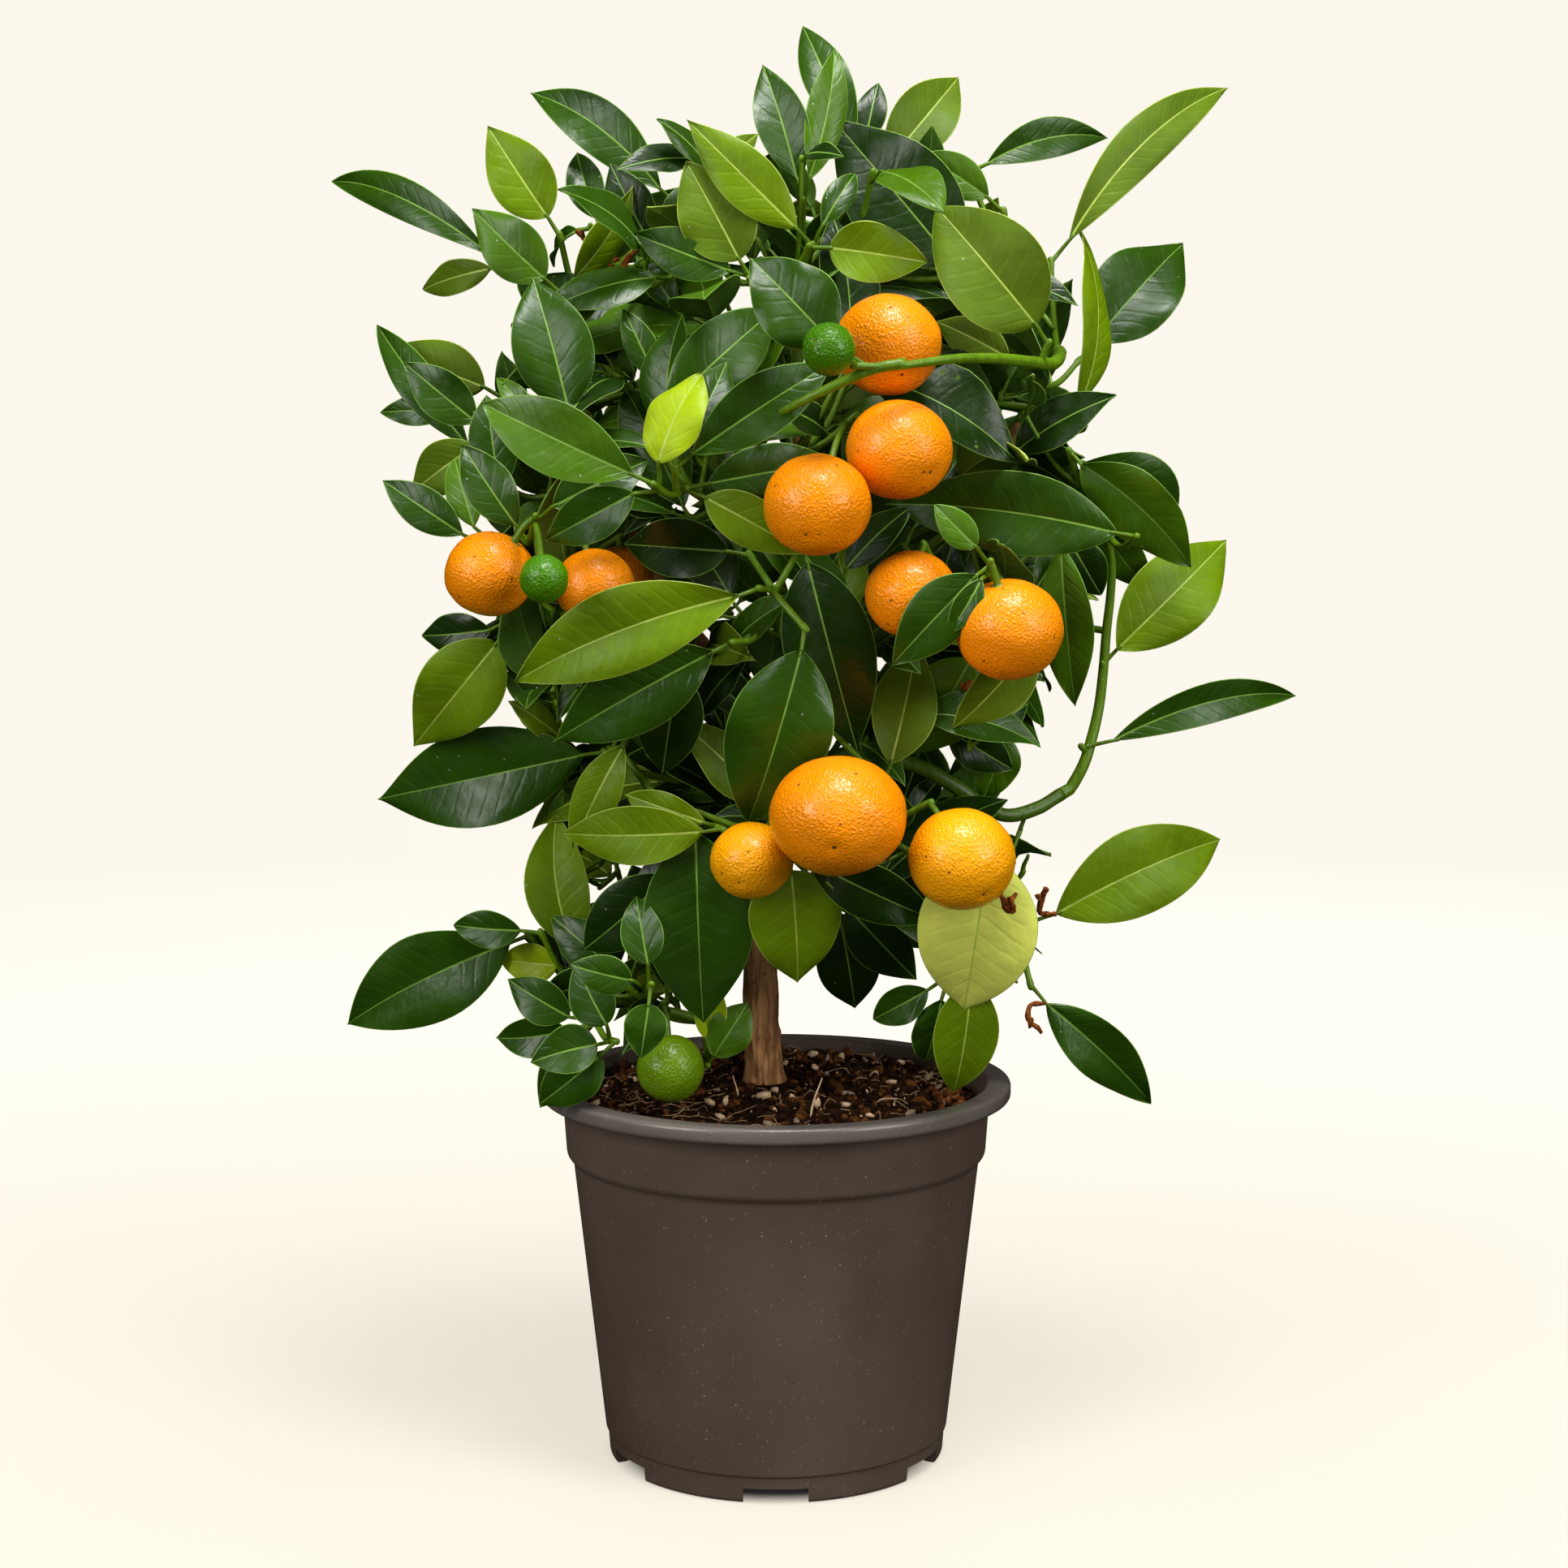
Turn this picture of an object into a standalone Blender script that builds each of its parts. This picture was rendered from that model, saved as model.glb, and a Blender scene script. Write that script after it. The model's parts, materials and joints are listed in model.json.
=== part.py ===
# Calamondin orange tree in a round nursery pot.
# World axes: +Z up, the plant's front faces -Y, origin on the pot's axis at the floor.
# Lengths are millimetres and angles are degrees until a mesh is made, where MM turns them to metres.

import math
import random

import bmesh
import bpy
from mathutils import Matrix, Vector
from mathutils.bvhtree import BVHTree

MM = 0.001
CLEARANCE = 0.3
SEED = 42

# Pot
POT_SIDES = 40
POT_HEIGHT = 121.0
WALL = 1.8
LIP_RADIUS = 75.0
LIP_HEIGHT = 5.0
LIP_EDGE = 1.3
COLLAR_TOP_RADIUS = 68.2
COLLAR_FOOT_RADIUS = 67.0
COLLAR_FOOT_Z = 98.0
BODY_TOP_RADIUS = 65.0
BODY_TOP_Z = 96.2
BODY_FOOT_RADIUS = 55.1
FOOT_BAND_Z = 8.2
FOOT_BAND_RADIUS = 54.4
FOOT_RADIUS = 53.8
FOOT_RING_WIDTH = 4.0
BASE_THICKNESS = 2.4
BASE_RAISE = 5.2
BASE_DISC_RADIUS = 27.0
NOTCH_COUNT = 6
NOTCH_WIDTH = 20.0
NOTCH_HEIGHT = 4.8
DRAIN_HOLE_RADIUS = 4.0
DRAIN_HOLE_PLACE = 41.0

# Soil
SOIL_EDGE_Z = 112.0
SOIL_TOP_Z = 118.5
SOIL_FLAT_RADIUS = 20.0

# Trunk: places along its axis, then its radius at the soil, above the flare and at the fork
TRUNK_PATH = ((-4, 5, 118.8), (-4, 5, 125), (-5, 5, 158), (-1, 5, 200), (6, 5, 240))
TRUNK_FLARE_RADIUS = 8.4
TRUNK_FOOT_RADIUS = 6.0
TRUNK_FORK_RADIUS = 4.4
FLARE_HEIGHT = 9.0

# Boughs: what each grows from, the height on it where it leaves, its way to its tip, its two radii
BOUGHS = {
    "bough_top_centre": ("trunk", None, ((8, 6, 262), (9, 8, 300), (7, 8, 342)), 4.2, 2.3),
    "bough_top_left": ("trunk", 226, ((-20, 9, 254), (-44, 10, 290), (-60, 9, 332)), 3.2, 1.9),
    "bough_top_right": ("trunk", 232, ((30, 9, 262), (58, 9, 296), (78, 8, 330)), 3.2, 1.9),
    "bough_left": ("trunk", 206, ((-30, 2, 226), (-58, -4, 256), (-74, -8, 280)), 2.7, 1.7),
    "bough_centre": ("bough_top_centre", 282, ((0, -12, 290), (-12, -32, 298)), 2.3, 1.6),
    "bough_middle": ("bough_top_centre", 254, ((4, -14, 258), (2, -32, 264)), 2.3, 1.6),
    "bough_arch": ("trunk", 216, ((24, -8, 226), (46, -18, 222), (72, -14, 207), (90, -6, 213)), 2.6, 2.1),
    "bough_inner_right": ("bough_top_centre", 264, ((28, -6, 272), (52, -22, 276)), 2.4, 1.6),
    "bough_low_left": ("trunk", 190, ((-24, 0, 202), (-44, -8, 216)), 2.4, 1.6),
    "bough_low_centre": ("trunk", 198, ((4, -14, 200), (8, -26, 203)), 2.4, 1.7),
    "bough_low_right": ("trunk", 170, ((22, 0, 180), (52, -8, 188)), 2.4, 1.6),
    "bough_back_top": ("bough_top_centre", 292, ((6, 26, 312), (4, 42, 338)), 2.4, 1.6),
    "bough_back_left": ("trunk", 218, ((-16, 24, 240), (-42, 42, 272)), 2.6, 1.7),
    "bough_back_right": ("bough_top_centre", 252, ((26, 24, 262), (50, 42, 282)), 2.6, 1.7),
    "bough_back_low": ("trunk", 180, ((0, 24, 192), (4, 42, 206)), 2.4, 1.6),
}

# Crown: half widths at heights, and half its depth at the widest
CROWN_CENTRE_X = 4.0
CROWN_OUTLINE = ((128, 60), (150, 76), (175, 82), (215, 88), (260, 98), (330, 100), (375, 92), (405, 74), (432, 30))
CROWN_DEPTH = 0.94
FILL_FRONT_DEPTH = -62.0
RIM_CLEAR_Z = 127.0

# Leaves and twigs
LEAF_THICKNESS = 0.022
LEAF_DROOP = 22.0
PETIOLE_RADIUS = 0.6
FRUIT_STALK_RADIUS = 0.8
LEAF_SPACING = 3.0
JOINT_SPACING = 4.0
SHORT_EDGE = 1.2
LEAST_NORMAL_MATCH = 0.5
SHUT_FOLD = -0.99
TWIG_RADIUS = 1.15
STEM_RADIUS = 1.5
TWIG_STEP = 11.0
FIRST_STRAIGHT = 3.0
TWIG_BOW_SPAN = 18.0
FILL_LEAF_LENGTHS = (34.0, 54.0)
FILL_LEAF_RATIO = 0.44
LEAVES_PER_FILL = (3, 5)
FILL_TRIES = 160
GOLDEN_ANGLE = 137.5


def leaf(bearing, length, width, lean=0, roll=0, stalk=6):
    """A leaf of a spray: its bearing seen from the front, its size, how far it leans forward, its turn about its own
    length and the length of its stalk."""
    return ("leaf", bearing, length, width, lean, roll, stalk)


def fruit(x, y, z, diameter, height=0.94):
    """A fruit of a spray: its centre, its diameter and its height as a share of that."""
    return ("fruit", Vector((x, y, z)), diameter, height)


def spray(x, y, z, *items):
    """A twig's end with what grows there."""
    return (Vector((x, y, z)), items)


# Foliage masses: the bough that carries each, its stem, the sprays that shape it, how many more fill it and their reach
FOLIAGE = {
    "foliage_top_left": (
        "bough_top_left", ((-62, 7, 345), (-60, 3, 362)),
        (
            spray(-67, -5, 387, leaf(125, 32, 20, 8)),
            spray(-54, 5, 387, leaf(110, 24, 12)),
            spray(-66, -16, 368, leaf(138, 30, 18, 10), leaf(44, 32, 13, 5, 40)),
            spray(-84, 10, 379, leaf(156, 67, 15), leaf(-170, 28, 12, -10)),
            spray(-60, -46, 326, leaf(103, 39, 24, 5)),
            spray(-31, 5, 398, leaf(144, 52, 20, 4), leaf(41, 24, 9, -5, 0, 12)),
            spray(-37, -2, 380, leaf(118, 24, 15, 12), leaf(60, 26, 13, -8)),
        ),
        5, (-56, 6, 362), (44, 34, 38),
    ),
    "foliage_top_centre": (
        "bough_top_centre", ((7, 6, 356), (9, -2, 374)),
        (
            spray(8, -18, 396, leaf(104, 37, 16, 4, 0, 5), leaf(70, 40, 13, 10, 20)),
            spray(11, -32, 381, leaf(137, 44, 17, 14), leaf(61, 20, 9, 5)),
            spray(-8, -34, 371, leaf(118, 32, 23, 12), leaf(160, 30, 15, 10)),
            spray(10, -38, 380, leaf(-8, 28, 18, 15)),
            spray(27, 10, 411, leaf(113, 45, 15), leaf(80, 20, 10)),
            spray(58, -12, 373, leaf(130, 56, 34, 5)),
            spray(31, 14, 406, leaf(50, 40, 20), leaf(48, 22, 10, -15, 0, 14)),
        ),
        6, (12, 4, 392), (50, 36, 32),
    ),
    "foliage_top_right": (
        "bough_top_right", ((82, 4, 340), (87, -8, 350), (84, -24, 346), (68, -46, 346), (52, -64, 345), (34, -76, 342)),
        (
            spray(22, -80, 342, fruit(15, -90, 346, 15, 1.0), leaf(133, 32, 24, 6, 0, 9)),
            spray(82, -34, 352, leaf(131, 45, 31, 15)),
            spray(85, -5, 379, leaf(46, 75, 21, 3, 0, 8)),
            spray(97, 18, 350, leaf(51, 51, 28, -6, -15)),
            spray(91, -12, 328, leaf(66, 54, 14, 6, 50)),
            spray(60, 8, 408, leaf(17, 41, 13)),
            spray(70, -8, 394, leaf(145, 23, 13, 12)),
            spray(76, -22, 345, leaf(151, 24, 13, 8)),
        ),
        5, (66, 8, 372), (40, 34, 34),
    ),
    "foliage_right": (
        "bough_arch", ((97, -4, 222), (102, -1, 240), (104, -2, 264), (105, -5, 286), (99, -12, 304)),
        (
            spray(96, -5, 228, leaf(10, 66, 13, 4, 0, 10)),
            spray(103, -2, 254, leaf(45, 51, 26, 6)),
            spray(89, -26, 320, leaf(-50, 43, 22, 14, 30), leaf(-38, 42, 22, -5)),
            spray(108, -42, 294, leaf(172, 67, 25, 4)),
            spray(98, -14, 305, leaf(-62, 28, 15, 5, 25)),
        ),
        5, (86, 8, 306), (34, 34, 36),
    ),
    "foliage_inner_right": (
        "bough_inner_right", ((60, -30, 279), (66, -40, 284)),
        (
            spray(62, -72, 287, fruit(68, -66, 267, 31.5), leaf(-135, 34, 18, 8), leaf(137, 16, 10, 10), leaf(-118, 18, 8, 16)),
            spray(44, -46, 292, fruit(40, -60, 277, 27.5)),
            spray(86, -30, 298, leaf(-60, 21, 14), leaf(-87, 50, 17, 5, 15)),
            spray(80, -48, 268, leaf(-124, 34, 18, 6, -20)),
            spray(62, -34, 262, leaf(-118, 36, 24, -5)),
            spray(73, -12, 238, leaf(-104, 22, 15)),
            spray(48, -18, 238, leaf(-34, 24, 14)),
        ),
        4, (58, -22, 262), (34, 30, 40),
    ),
    "foliage_left_upper": (
        "bough_back_left", ((-56, 30, 288), (-72, 14, 304), (-82, 0, 316)),
        (
            spray(-91, -12, 317, leaf(130, 50, 13, 6)),
            spray(-86, 4, 338, leaf(157, 36, 19, 5, 10)),
            spray(-87, -14, 325, leaf(142, 28, 15, 8), leaf(-147, 26, 16, 6)),
            spray(-96, 6, 333, leaf(178, 24, 10, 0)),
            spray(-84, -22, 302, leaf(96, 28, 15, 8)),
        ),
        5, (-74, 8, 318), (36, 34, 34),
    ),
    "foliage_left": (
        "bough_left", ((-78, -12, 289), (-78, -22, 294)),
        (
            spray(-70, -60, 300, fruit(-84, -56, 283, 26.5), fruit(-66, -79, 282, 14, 1.0), leaf(27, 30, 16, 8)),
            spray(-58, -34, 296, fruit(-54, -44, 279, 24)),
            spray(-48, -8, 294, fruit(-48, -16, 281, 21)),
            spray(-90, -25, 291, leaf(146, 29, 13, 5), leaf(107, 24, 11)),
            spray(-74, -40, 292, leaf(125, 28, 15, 10)),
            spray(-82, -20, 266, leaf(-129, 43, 26, 8), leaf(-172, 23, 13)),
        ),
        4, (-72, 0, 262), (34, 34, 36),
    ),
    "foliage_centre": (
        "bough_centre", ((-20, -42, 304), (-26, -54, 308)),
        (
            spray(30, -40, 360, fruit(33, -50, 350, 31.5)),
            spray(24, -46, 330, fruit(36, -61, 319, 31), fruit(12, -76, 303, 31)),
            spray(-35, -74, 309, leaf(156, 46, 21, 8), leaf(75, 28, 18, 12, -20), leaf(-153, 31, 15, -6)),
            spray(-29, -68, 314, leaf(35, 46, 18, 8), leaf(62, 32, 15, -5)),
            spray(-37, -60, 327, leaf(43, 46, 21, 4)),
            spray(-26, -72, 308, leaf(11, 39, 17, 5), leaf(-27, 32, 15, 18)),
        ),
        5, (-16, -34, 326), (44, 26, 36),
    ),
    "foliage_middle": (
        "bough_middle", ((0, -42, 270), (2, -52, 278)),
        (
            spray(-5, -68, 279, leaf(-159, 69, 25, 10)),
            spray(-13, -60, 263, leaf(-153, 54, 24, 4)),
            spray(-8, -46, 289, leaf(176, 34, 18, 2)),
            spray(8, -60, 292, leaf(-76, 57, 27, 6)),
            spray(9, -74, 267, leaf(-104, 55, 31, 8)),
            spray(-28, -44, 260, leaf(-100, 33, 20)),
            spray(33, -36, 220, leaf(75, 38, 20, -4)),
        ),
        3, (4, -30, 250), (36, 22, 34),
    ),
    "foliage_low_left": (
        "bough_low_left", ((-50, -10, 222), (-52, -14, 228)),
        (
            spray(-54, -10, 227, leaf(-168, 71, 31, 5)),
            spray(-43, -34, 236, leaf(-121, 35, 15, 8, 15)),
            spray(-15, -54, 207, leaf(-176, 43, 18, 8), leaf(161, 26, 10, -4)),
            spray(-28, -42, 196, leaf(-136, 35, 20, 5)),
        ),
        4, (-46, 4, 212), (36, 32, 34),
    ),
    "foliage_low_centre": (
        "bough_low_centre", ((10, -36, 205), (14, -44, 206)),
        (
            spray(20, -56, 226, fruit(18, -80, 214, 39.7, 0.87)),
            spray(-2, -48, 208, fruit(-7, -63, 199, 24.8, 0.91)),
            spray(46, -60, 216, fruit(54, -76, 201, 31, 0.96)),
            spray(40, -52, 200, leaf(-161, 30, 12, 8)),
            spray(4, -56, 191, leaf(-24, 42, 17, 8), leaf(-84, 25, 26, 10)),
            spray(-24, -56, 212, leaf(-89, 57, 33, 8)),
            spray(18, -24, 184, leaf(-78, 36, 20), leaf(-48, 32, 18)),
        ),
        3, (14, -10, 200), (34, 30, 30),
    ),
    "foliage_low_right": (
        "bough_low_right", ((62, -11, 190), (72, -14, 186)),
        (
            spray(82, -6, 172, leaf(24, 59, 28, 6, 0, 7)),
            spray(80, -16, 153, leaf(-47, 50, 18, 4, 0, 7)),
            spray(64, -56, 206, leaf(-98, 50, 36, 6)),
            spray(60, -46, 166, leaf(-94, 40, 20, 4)),
            spray(52, -32, 158, leaf(-150, 20, 12), leaf(-100, 24, 14)),
        ),
        4, (56, 8, 184), (34, 34, 32),
    ),
    "foliage_basal": (
        "trunk", ((-16, -4, 138), (-36, -16, 146), (-54, -20, 150)),
        (
            spray(-34, -36, 152, fruit(-32, -44, 133, 20.5, 1.0)),
            spray(-78, -15, 170, leaf(-150, 61, 29, 4)),
            spray(-73, -24, 172, leaf(178, 21, 12, 4)),
            spray(-62, -22, 160, leaf(97, 40, 20, 8, 10), leaf(176, 20, 13)),
            spray(-58, -34, 144, leaf(-168, 24, 13, 6), leaf(150, 22, 14, 8), leaf(-120, 22, 14, 30)),
            spray(-48, -48, 142, leaf(-140, 24, 16, 8), leaf(-175, 20, 15, 20, 20), leaf(120, 20, 14, 5)),
            spray(-46, -32, 158, leaf(140, 24, 15, 6), leaf(60, 22, 14, 8), leaf(-170, 20, 14, 14)),
            spray(-37, -50, 161, leaf(-98, 16, 13, 15), leaf(100, 20, 13, 5), leaf(168, 18, 12, 10)),
            spray(-16, -38, 144, leaf(-30, 18, 14, 12), leaf(75, 19, 11, 8), leaf(-75, 14, 11, 10)),
        ),
        3, (-44, -4, 158), (34, 30, 18),
    ),
    "foliage_back_top": (
        "bough_back_top", ((4, 48, 352), (2, 50, 368)), (), 10, (4, 58, 364), (66, 32, 46),
    ),
    "foliage_back_left": (
        "bough_back_left", ((-50, 50, 280), (-52, 54, 294)), (), 10, (-46, 56, 296), (42, 34, 46),
    ),
    "foliage_back_right": (
        "bough_back_right", ((56, 48, 292), (58, 54, 304)), (), 10, (54, 56, 300), (42, 34, 46),
    ),
    "foliage_back_low": (
        "bough_back_low", ((4, 50, 214), (4, 56, 226)), (), 12, (4, 52, 214), (66, 34, 42),
    ),
}


# Geometry of paths
def smooth_path(points, step):
    """A smooth curve through the points, as a list of points about one step apart."""
    points = [Vector(point) for point in points]
    ends = [points[0] * 2 - points[1]] + points + [points[-1] * 2 - points[-2]]
    path = [points[0]]
    for before, start, end, after in zip(ends, ends[1:], ends[2:], ends[3:]):
        count = max(1, round((end - start).length / step))
        for index in range(1, count + 1):
            t = index / count
            path.append(
                0.5 * (
                    2 * start
                    + (end - before) * t
                    + (2 * before - 5 * start + 4 * end - after) * t ** 2
                    + (3 * start - before - 3 * end + after) * t ** 3
                )
            )
    return path


def tapered(path, first, last):
    """Radii along the path, from the first to the last."""
    count = len(path) - 1
    return [first + (last - first) * index / count for index in range(count + 1)]


def distance_to_path(point, path):
    """The distance from a point to a line of points, and the index of the nearest stretch."""
    best = (math.inf, 0)
    for index, (start, end) in enumerate(zip(path, path[1:])):
        along = end - start
        share = min(1.0, max(0.0, (point - start).dot(along) / along.length_squared))
        best = min(best, ((start + along * share - point).length, index))
    return best


def seated_path(points, radius, parent_path, parent_radii):
    """Moves the first point out along the path until its flat end clears the parent by CLEARANCE."""
    path = smooth_path(points, TWIG_STEP)
    along = (path[1] - path[0]).normalized()
    side = along.orthogonal().normalized()
    start = path[0].copy()
    for step in range(200):
        start = path[0] + along * 0.1 * step
        rim = [start + Matrix.Rotation(math.radians(30 * turn), 3, along) @ side * radius for turn in range(12)]
        gaps = []
        for point in rim + [start]:
            distance, index = distance_to_path(point, parent_path)
            gaps.append(distance - max(parent_radii[index], parent_radii[index + 1]))
        if min(gaps) >= CLEARANCE:
            break
    rest = [point for point in path[1:] if (point - path[0]).dot(along) > (start - path[0]).dot(along) + 1.5]
    return [start] + rest


def height_on_path(path, height):
    """The point of a rising path at a height."""
    for start, end in zip(path, path[1:]):
        if start.z <= height <= end.z:
            return start.lerp(end, (height - start.z) / (end.z - start.z))
    raise ValueError(f"no point at height {height}")


# Plain shapes, each as its corners and faces
def tube_shape(path, radii, sides, grow=0.0):
    """A closed tube along the path."""
    corners, faces = [], []
    side = (path[1] - path[0]).orthogonal().normalized()
    for index, (point, radius) in enumerate(zip(path, radii)):
        along = (path[min(index + 1, len(path) - 1)] - path[max(index - 1, 0)]).normalized()
        side = (side - along * side.dot(along)).normalized()
        across = along.cross(side)
        for turn in range(sides):
            angle = 2 * math.pi * turn / sides
            corners.append(point + (side * math.cos(angle) + across * math.sin(angle)) * (radius + grow))
    for ring in range(len(path) - 1):
        for turn in range(sides):
            here, there = ring * sides + turn, ring * sides + (turn + 1) % sides
            faces.append((here, there, there + sides, here + sides))
    last = len(corners) - sides
    faces.append(tuple(reversed(range(sides))))
    faces.append(tuple(range(last, last + sides)))
    return corners, faces


def leaf_stations(base, along, normal, length, shares):
    """Points on the middle line of a leaf that droops away from its upper face, with the upward direction at each."""
    across = along.cross(normal).normalized()
    stations = []
    for share in shares:
        turn = Matrix.Rotation(math.radians(-LEAF_DROOP * share), 3, across)
        stations.append((base + turn @ along * length * share, turn @ normal))
    return stations, across


def leaf_shape(node, base, along, normal, length, width, grow=0.0):
    """A thin pointed blade on a three-sided stalk, as one closed piece that starts inside its twig."""
    stations, across = leaf_stations(base, along, normal, length, (0.36, 0.48, 0.74, 1.0))
    half = width / 2 + grow
    thick = length * LEAF_THICKNESS / 2 + grow
    stalk = PETIOLE_RADIUS + grow
    corners = []
    for place in (node - along * grow, base):
        corners += [place - across * stalk, place + across * stalk, place - normal * stalk * 1.4]
    for (point, _), share in ((stations[0], 1.0), (stations[2], 0.74)):
        corners += [point - across * half * share, point + across * half * share]
    corners.append(stations[3][0] + along * grow)
    middle, up = stations[1]
    corners += [middle + up * thick, middle - up * thick]
    faces = [(2, 1, 0), (0, 1, 4), (0, 4, 3), (1, 2, 5), (1, 5, 4), (2, 0, 3), (2, 3, 5)]
    faces += [(3, 4, 11), (3, 11, 6), (4, 7, 11), (6, 11, 8), (7, 9, 11), (8, 11, 10), (11, 9, 10)]
    faces += [(5, 3, 12), (4, 5, 12), (3, 6, 12), (7, 4, 12), (6, 8, 12), (9, 7, 12), (8, 10, 12), (10, 9, 12)]
    return corners, faces


def plain_leaf_shape(node, base, along, normal, length, width, grow=0.0):
    """A plainer blade for the fill: it widens from the twig to its middle and narrows to its tip."""
    stations, across = leaf_stations(base, along, normal, length, (0.44, 1.0))
    half = width / 2 + grow
    thick = length * LEAF_THICKNESS / 2 + grow
    stalk = PETIOLE_RADIUS + grow
    start = node - along * grow
    middle, up = stations[0]
    corners = [start - across * stalk, start + across * stalk, start - normal * stalk * 1.4]
    corners += [middle - across * half, middle + across * half, middle + up * thick, middle - up * thick]
    corners.append(stations[1][0] + along * grow)
    faces = [(2, 1, 0), (0, 1, 5), (0, 5, 3), (1, 4, 5), (0, 3, 6), (2, 0, 6), (1, 2, 6), (4, 1, 6)]
    faces += [(3, 5, 7), (5, 4, 7), (6, 3, 7), (4, 6, 7)]
    return corners, faces


def ball_shape(centre, diameter, height, grow=0.0):
    """A round fruit, a little flatter than a ball where its height is under 1."""
    shape = bmesh.new()
    bmesh.ops.create_icosphere(shape, subdivisions=2, radius=diameter / 2 + grow)
    corners = [centre + Vector((v.co.x, v.co.y, v.co.z * height)) for v in shape.verts]
    faces = [tuple(v.index for v in face.verts) for face in shape.faces]
    shape.free()
    return corners, faces


class Space:
    """What stands in the crown so far: it tells whether a new piece would touch anything of another owner."""

    def __init__(self):
        self.pieces = []

    def add(self, owner, kind, shape):
        corners, faces = shape
        middle = sum(corners, Vector()) / len(corners)
        reach = max((corner - middle).length for corner in corners)
        self.pieces.append((owner, kind, middle, reach, BVHTree.FromPolygons(corners, faces)))

    def free(self, owner, kind, shape):
        corners, faces = shape
        middle = sum(corners, Vector()) / len(corners)
        reach = max((corner - middle).length for corner in corners)
        tree = None
        for other, other_kind, other_middle, other_reach, other_tree in self.pieces:
            if other == owner and "twig" in (kind, other_kind):
                continue
            if (middle - other_middle).length > reach + other_reach:
                continue
            tree = tree or BVHTree.FromPolygons(corners, faces)
            if tree.overlap(other_tree):
                return False
        return True


# Growth of the limbs
def grow_limbs():
    """Every limb's path and radii, from the named places above."""
    trunk = smooth_path(TRUNK_PATH, TWIG_STEP)
    flare = [trunk[0], trunk[0] + Vector((0, 0, 2.5)), trunk[0] + Vector((0, 0, 6.2))]
    trunk = flare + [point for point in trunk[1:] if point.z > flare[-1].z + 2]
    radii = []
    for point in trunk:
        rise = (point.z - trunk[0].z) / (trunk[-1].z - trunk[0].z)
        spread = max(0.0, 1 - (point.z - trunk[0].z) / FLARE_HEIGHT) ** 2
        radius = TRUNK_FOOT_RADIUS + (TRUNK_FORK_RADIUS - TRUNK_FOOT_RADIUS) * rise
        radii.append(radius + (TRUNK_FLARE_RADIUS - TRUNK_FOOT_RADIUS) * spread)
    limbs = {"trunk": (trunk, radii)}
    for name, (parent, height, way, first, last) in BOUGHS.items():
        parent_path, parent_radii = limbs[parent]
        if height is None:
            along = (parent_path[-1] - parent_path[-2]).normalized()
            start = parent_path[-1] + along * CLEARANCE
            path = smooth_path((start, start + along * FIRST_STRAIGHT) + way, TWIG_STEP)
        else:
            start = height_on_path(parent_path, height)
            path = seated_path((start,) + way, first, parent_path, parent_radii)
        limbs[name] = (path, tapered(path, first, last))
    return limbs


def inside_crown(point):
    """Whether a point is inside the crown's outline and above the pot's rim."""
    if point.z < RIM_CLEAR_Z or point.y < FILL_FRONT_DEPTH:
        return False
    half = 0.0
    for (low, low_half), (high, high_half) in zip(CROWN_OUTLINE, CROWN_OUTLINE[1:]):
        if low <= point.z <= high:
            half = low_half + (high_half - low_half) * (point.z - low) / (high - low)
    if half == 0.0:
        return False
    return ((point.x - CROWN_CENTRE_X) / half) ** 2 + (point.y / (half * CROWN_DEPTH)) ** 2 < 1


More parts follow.
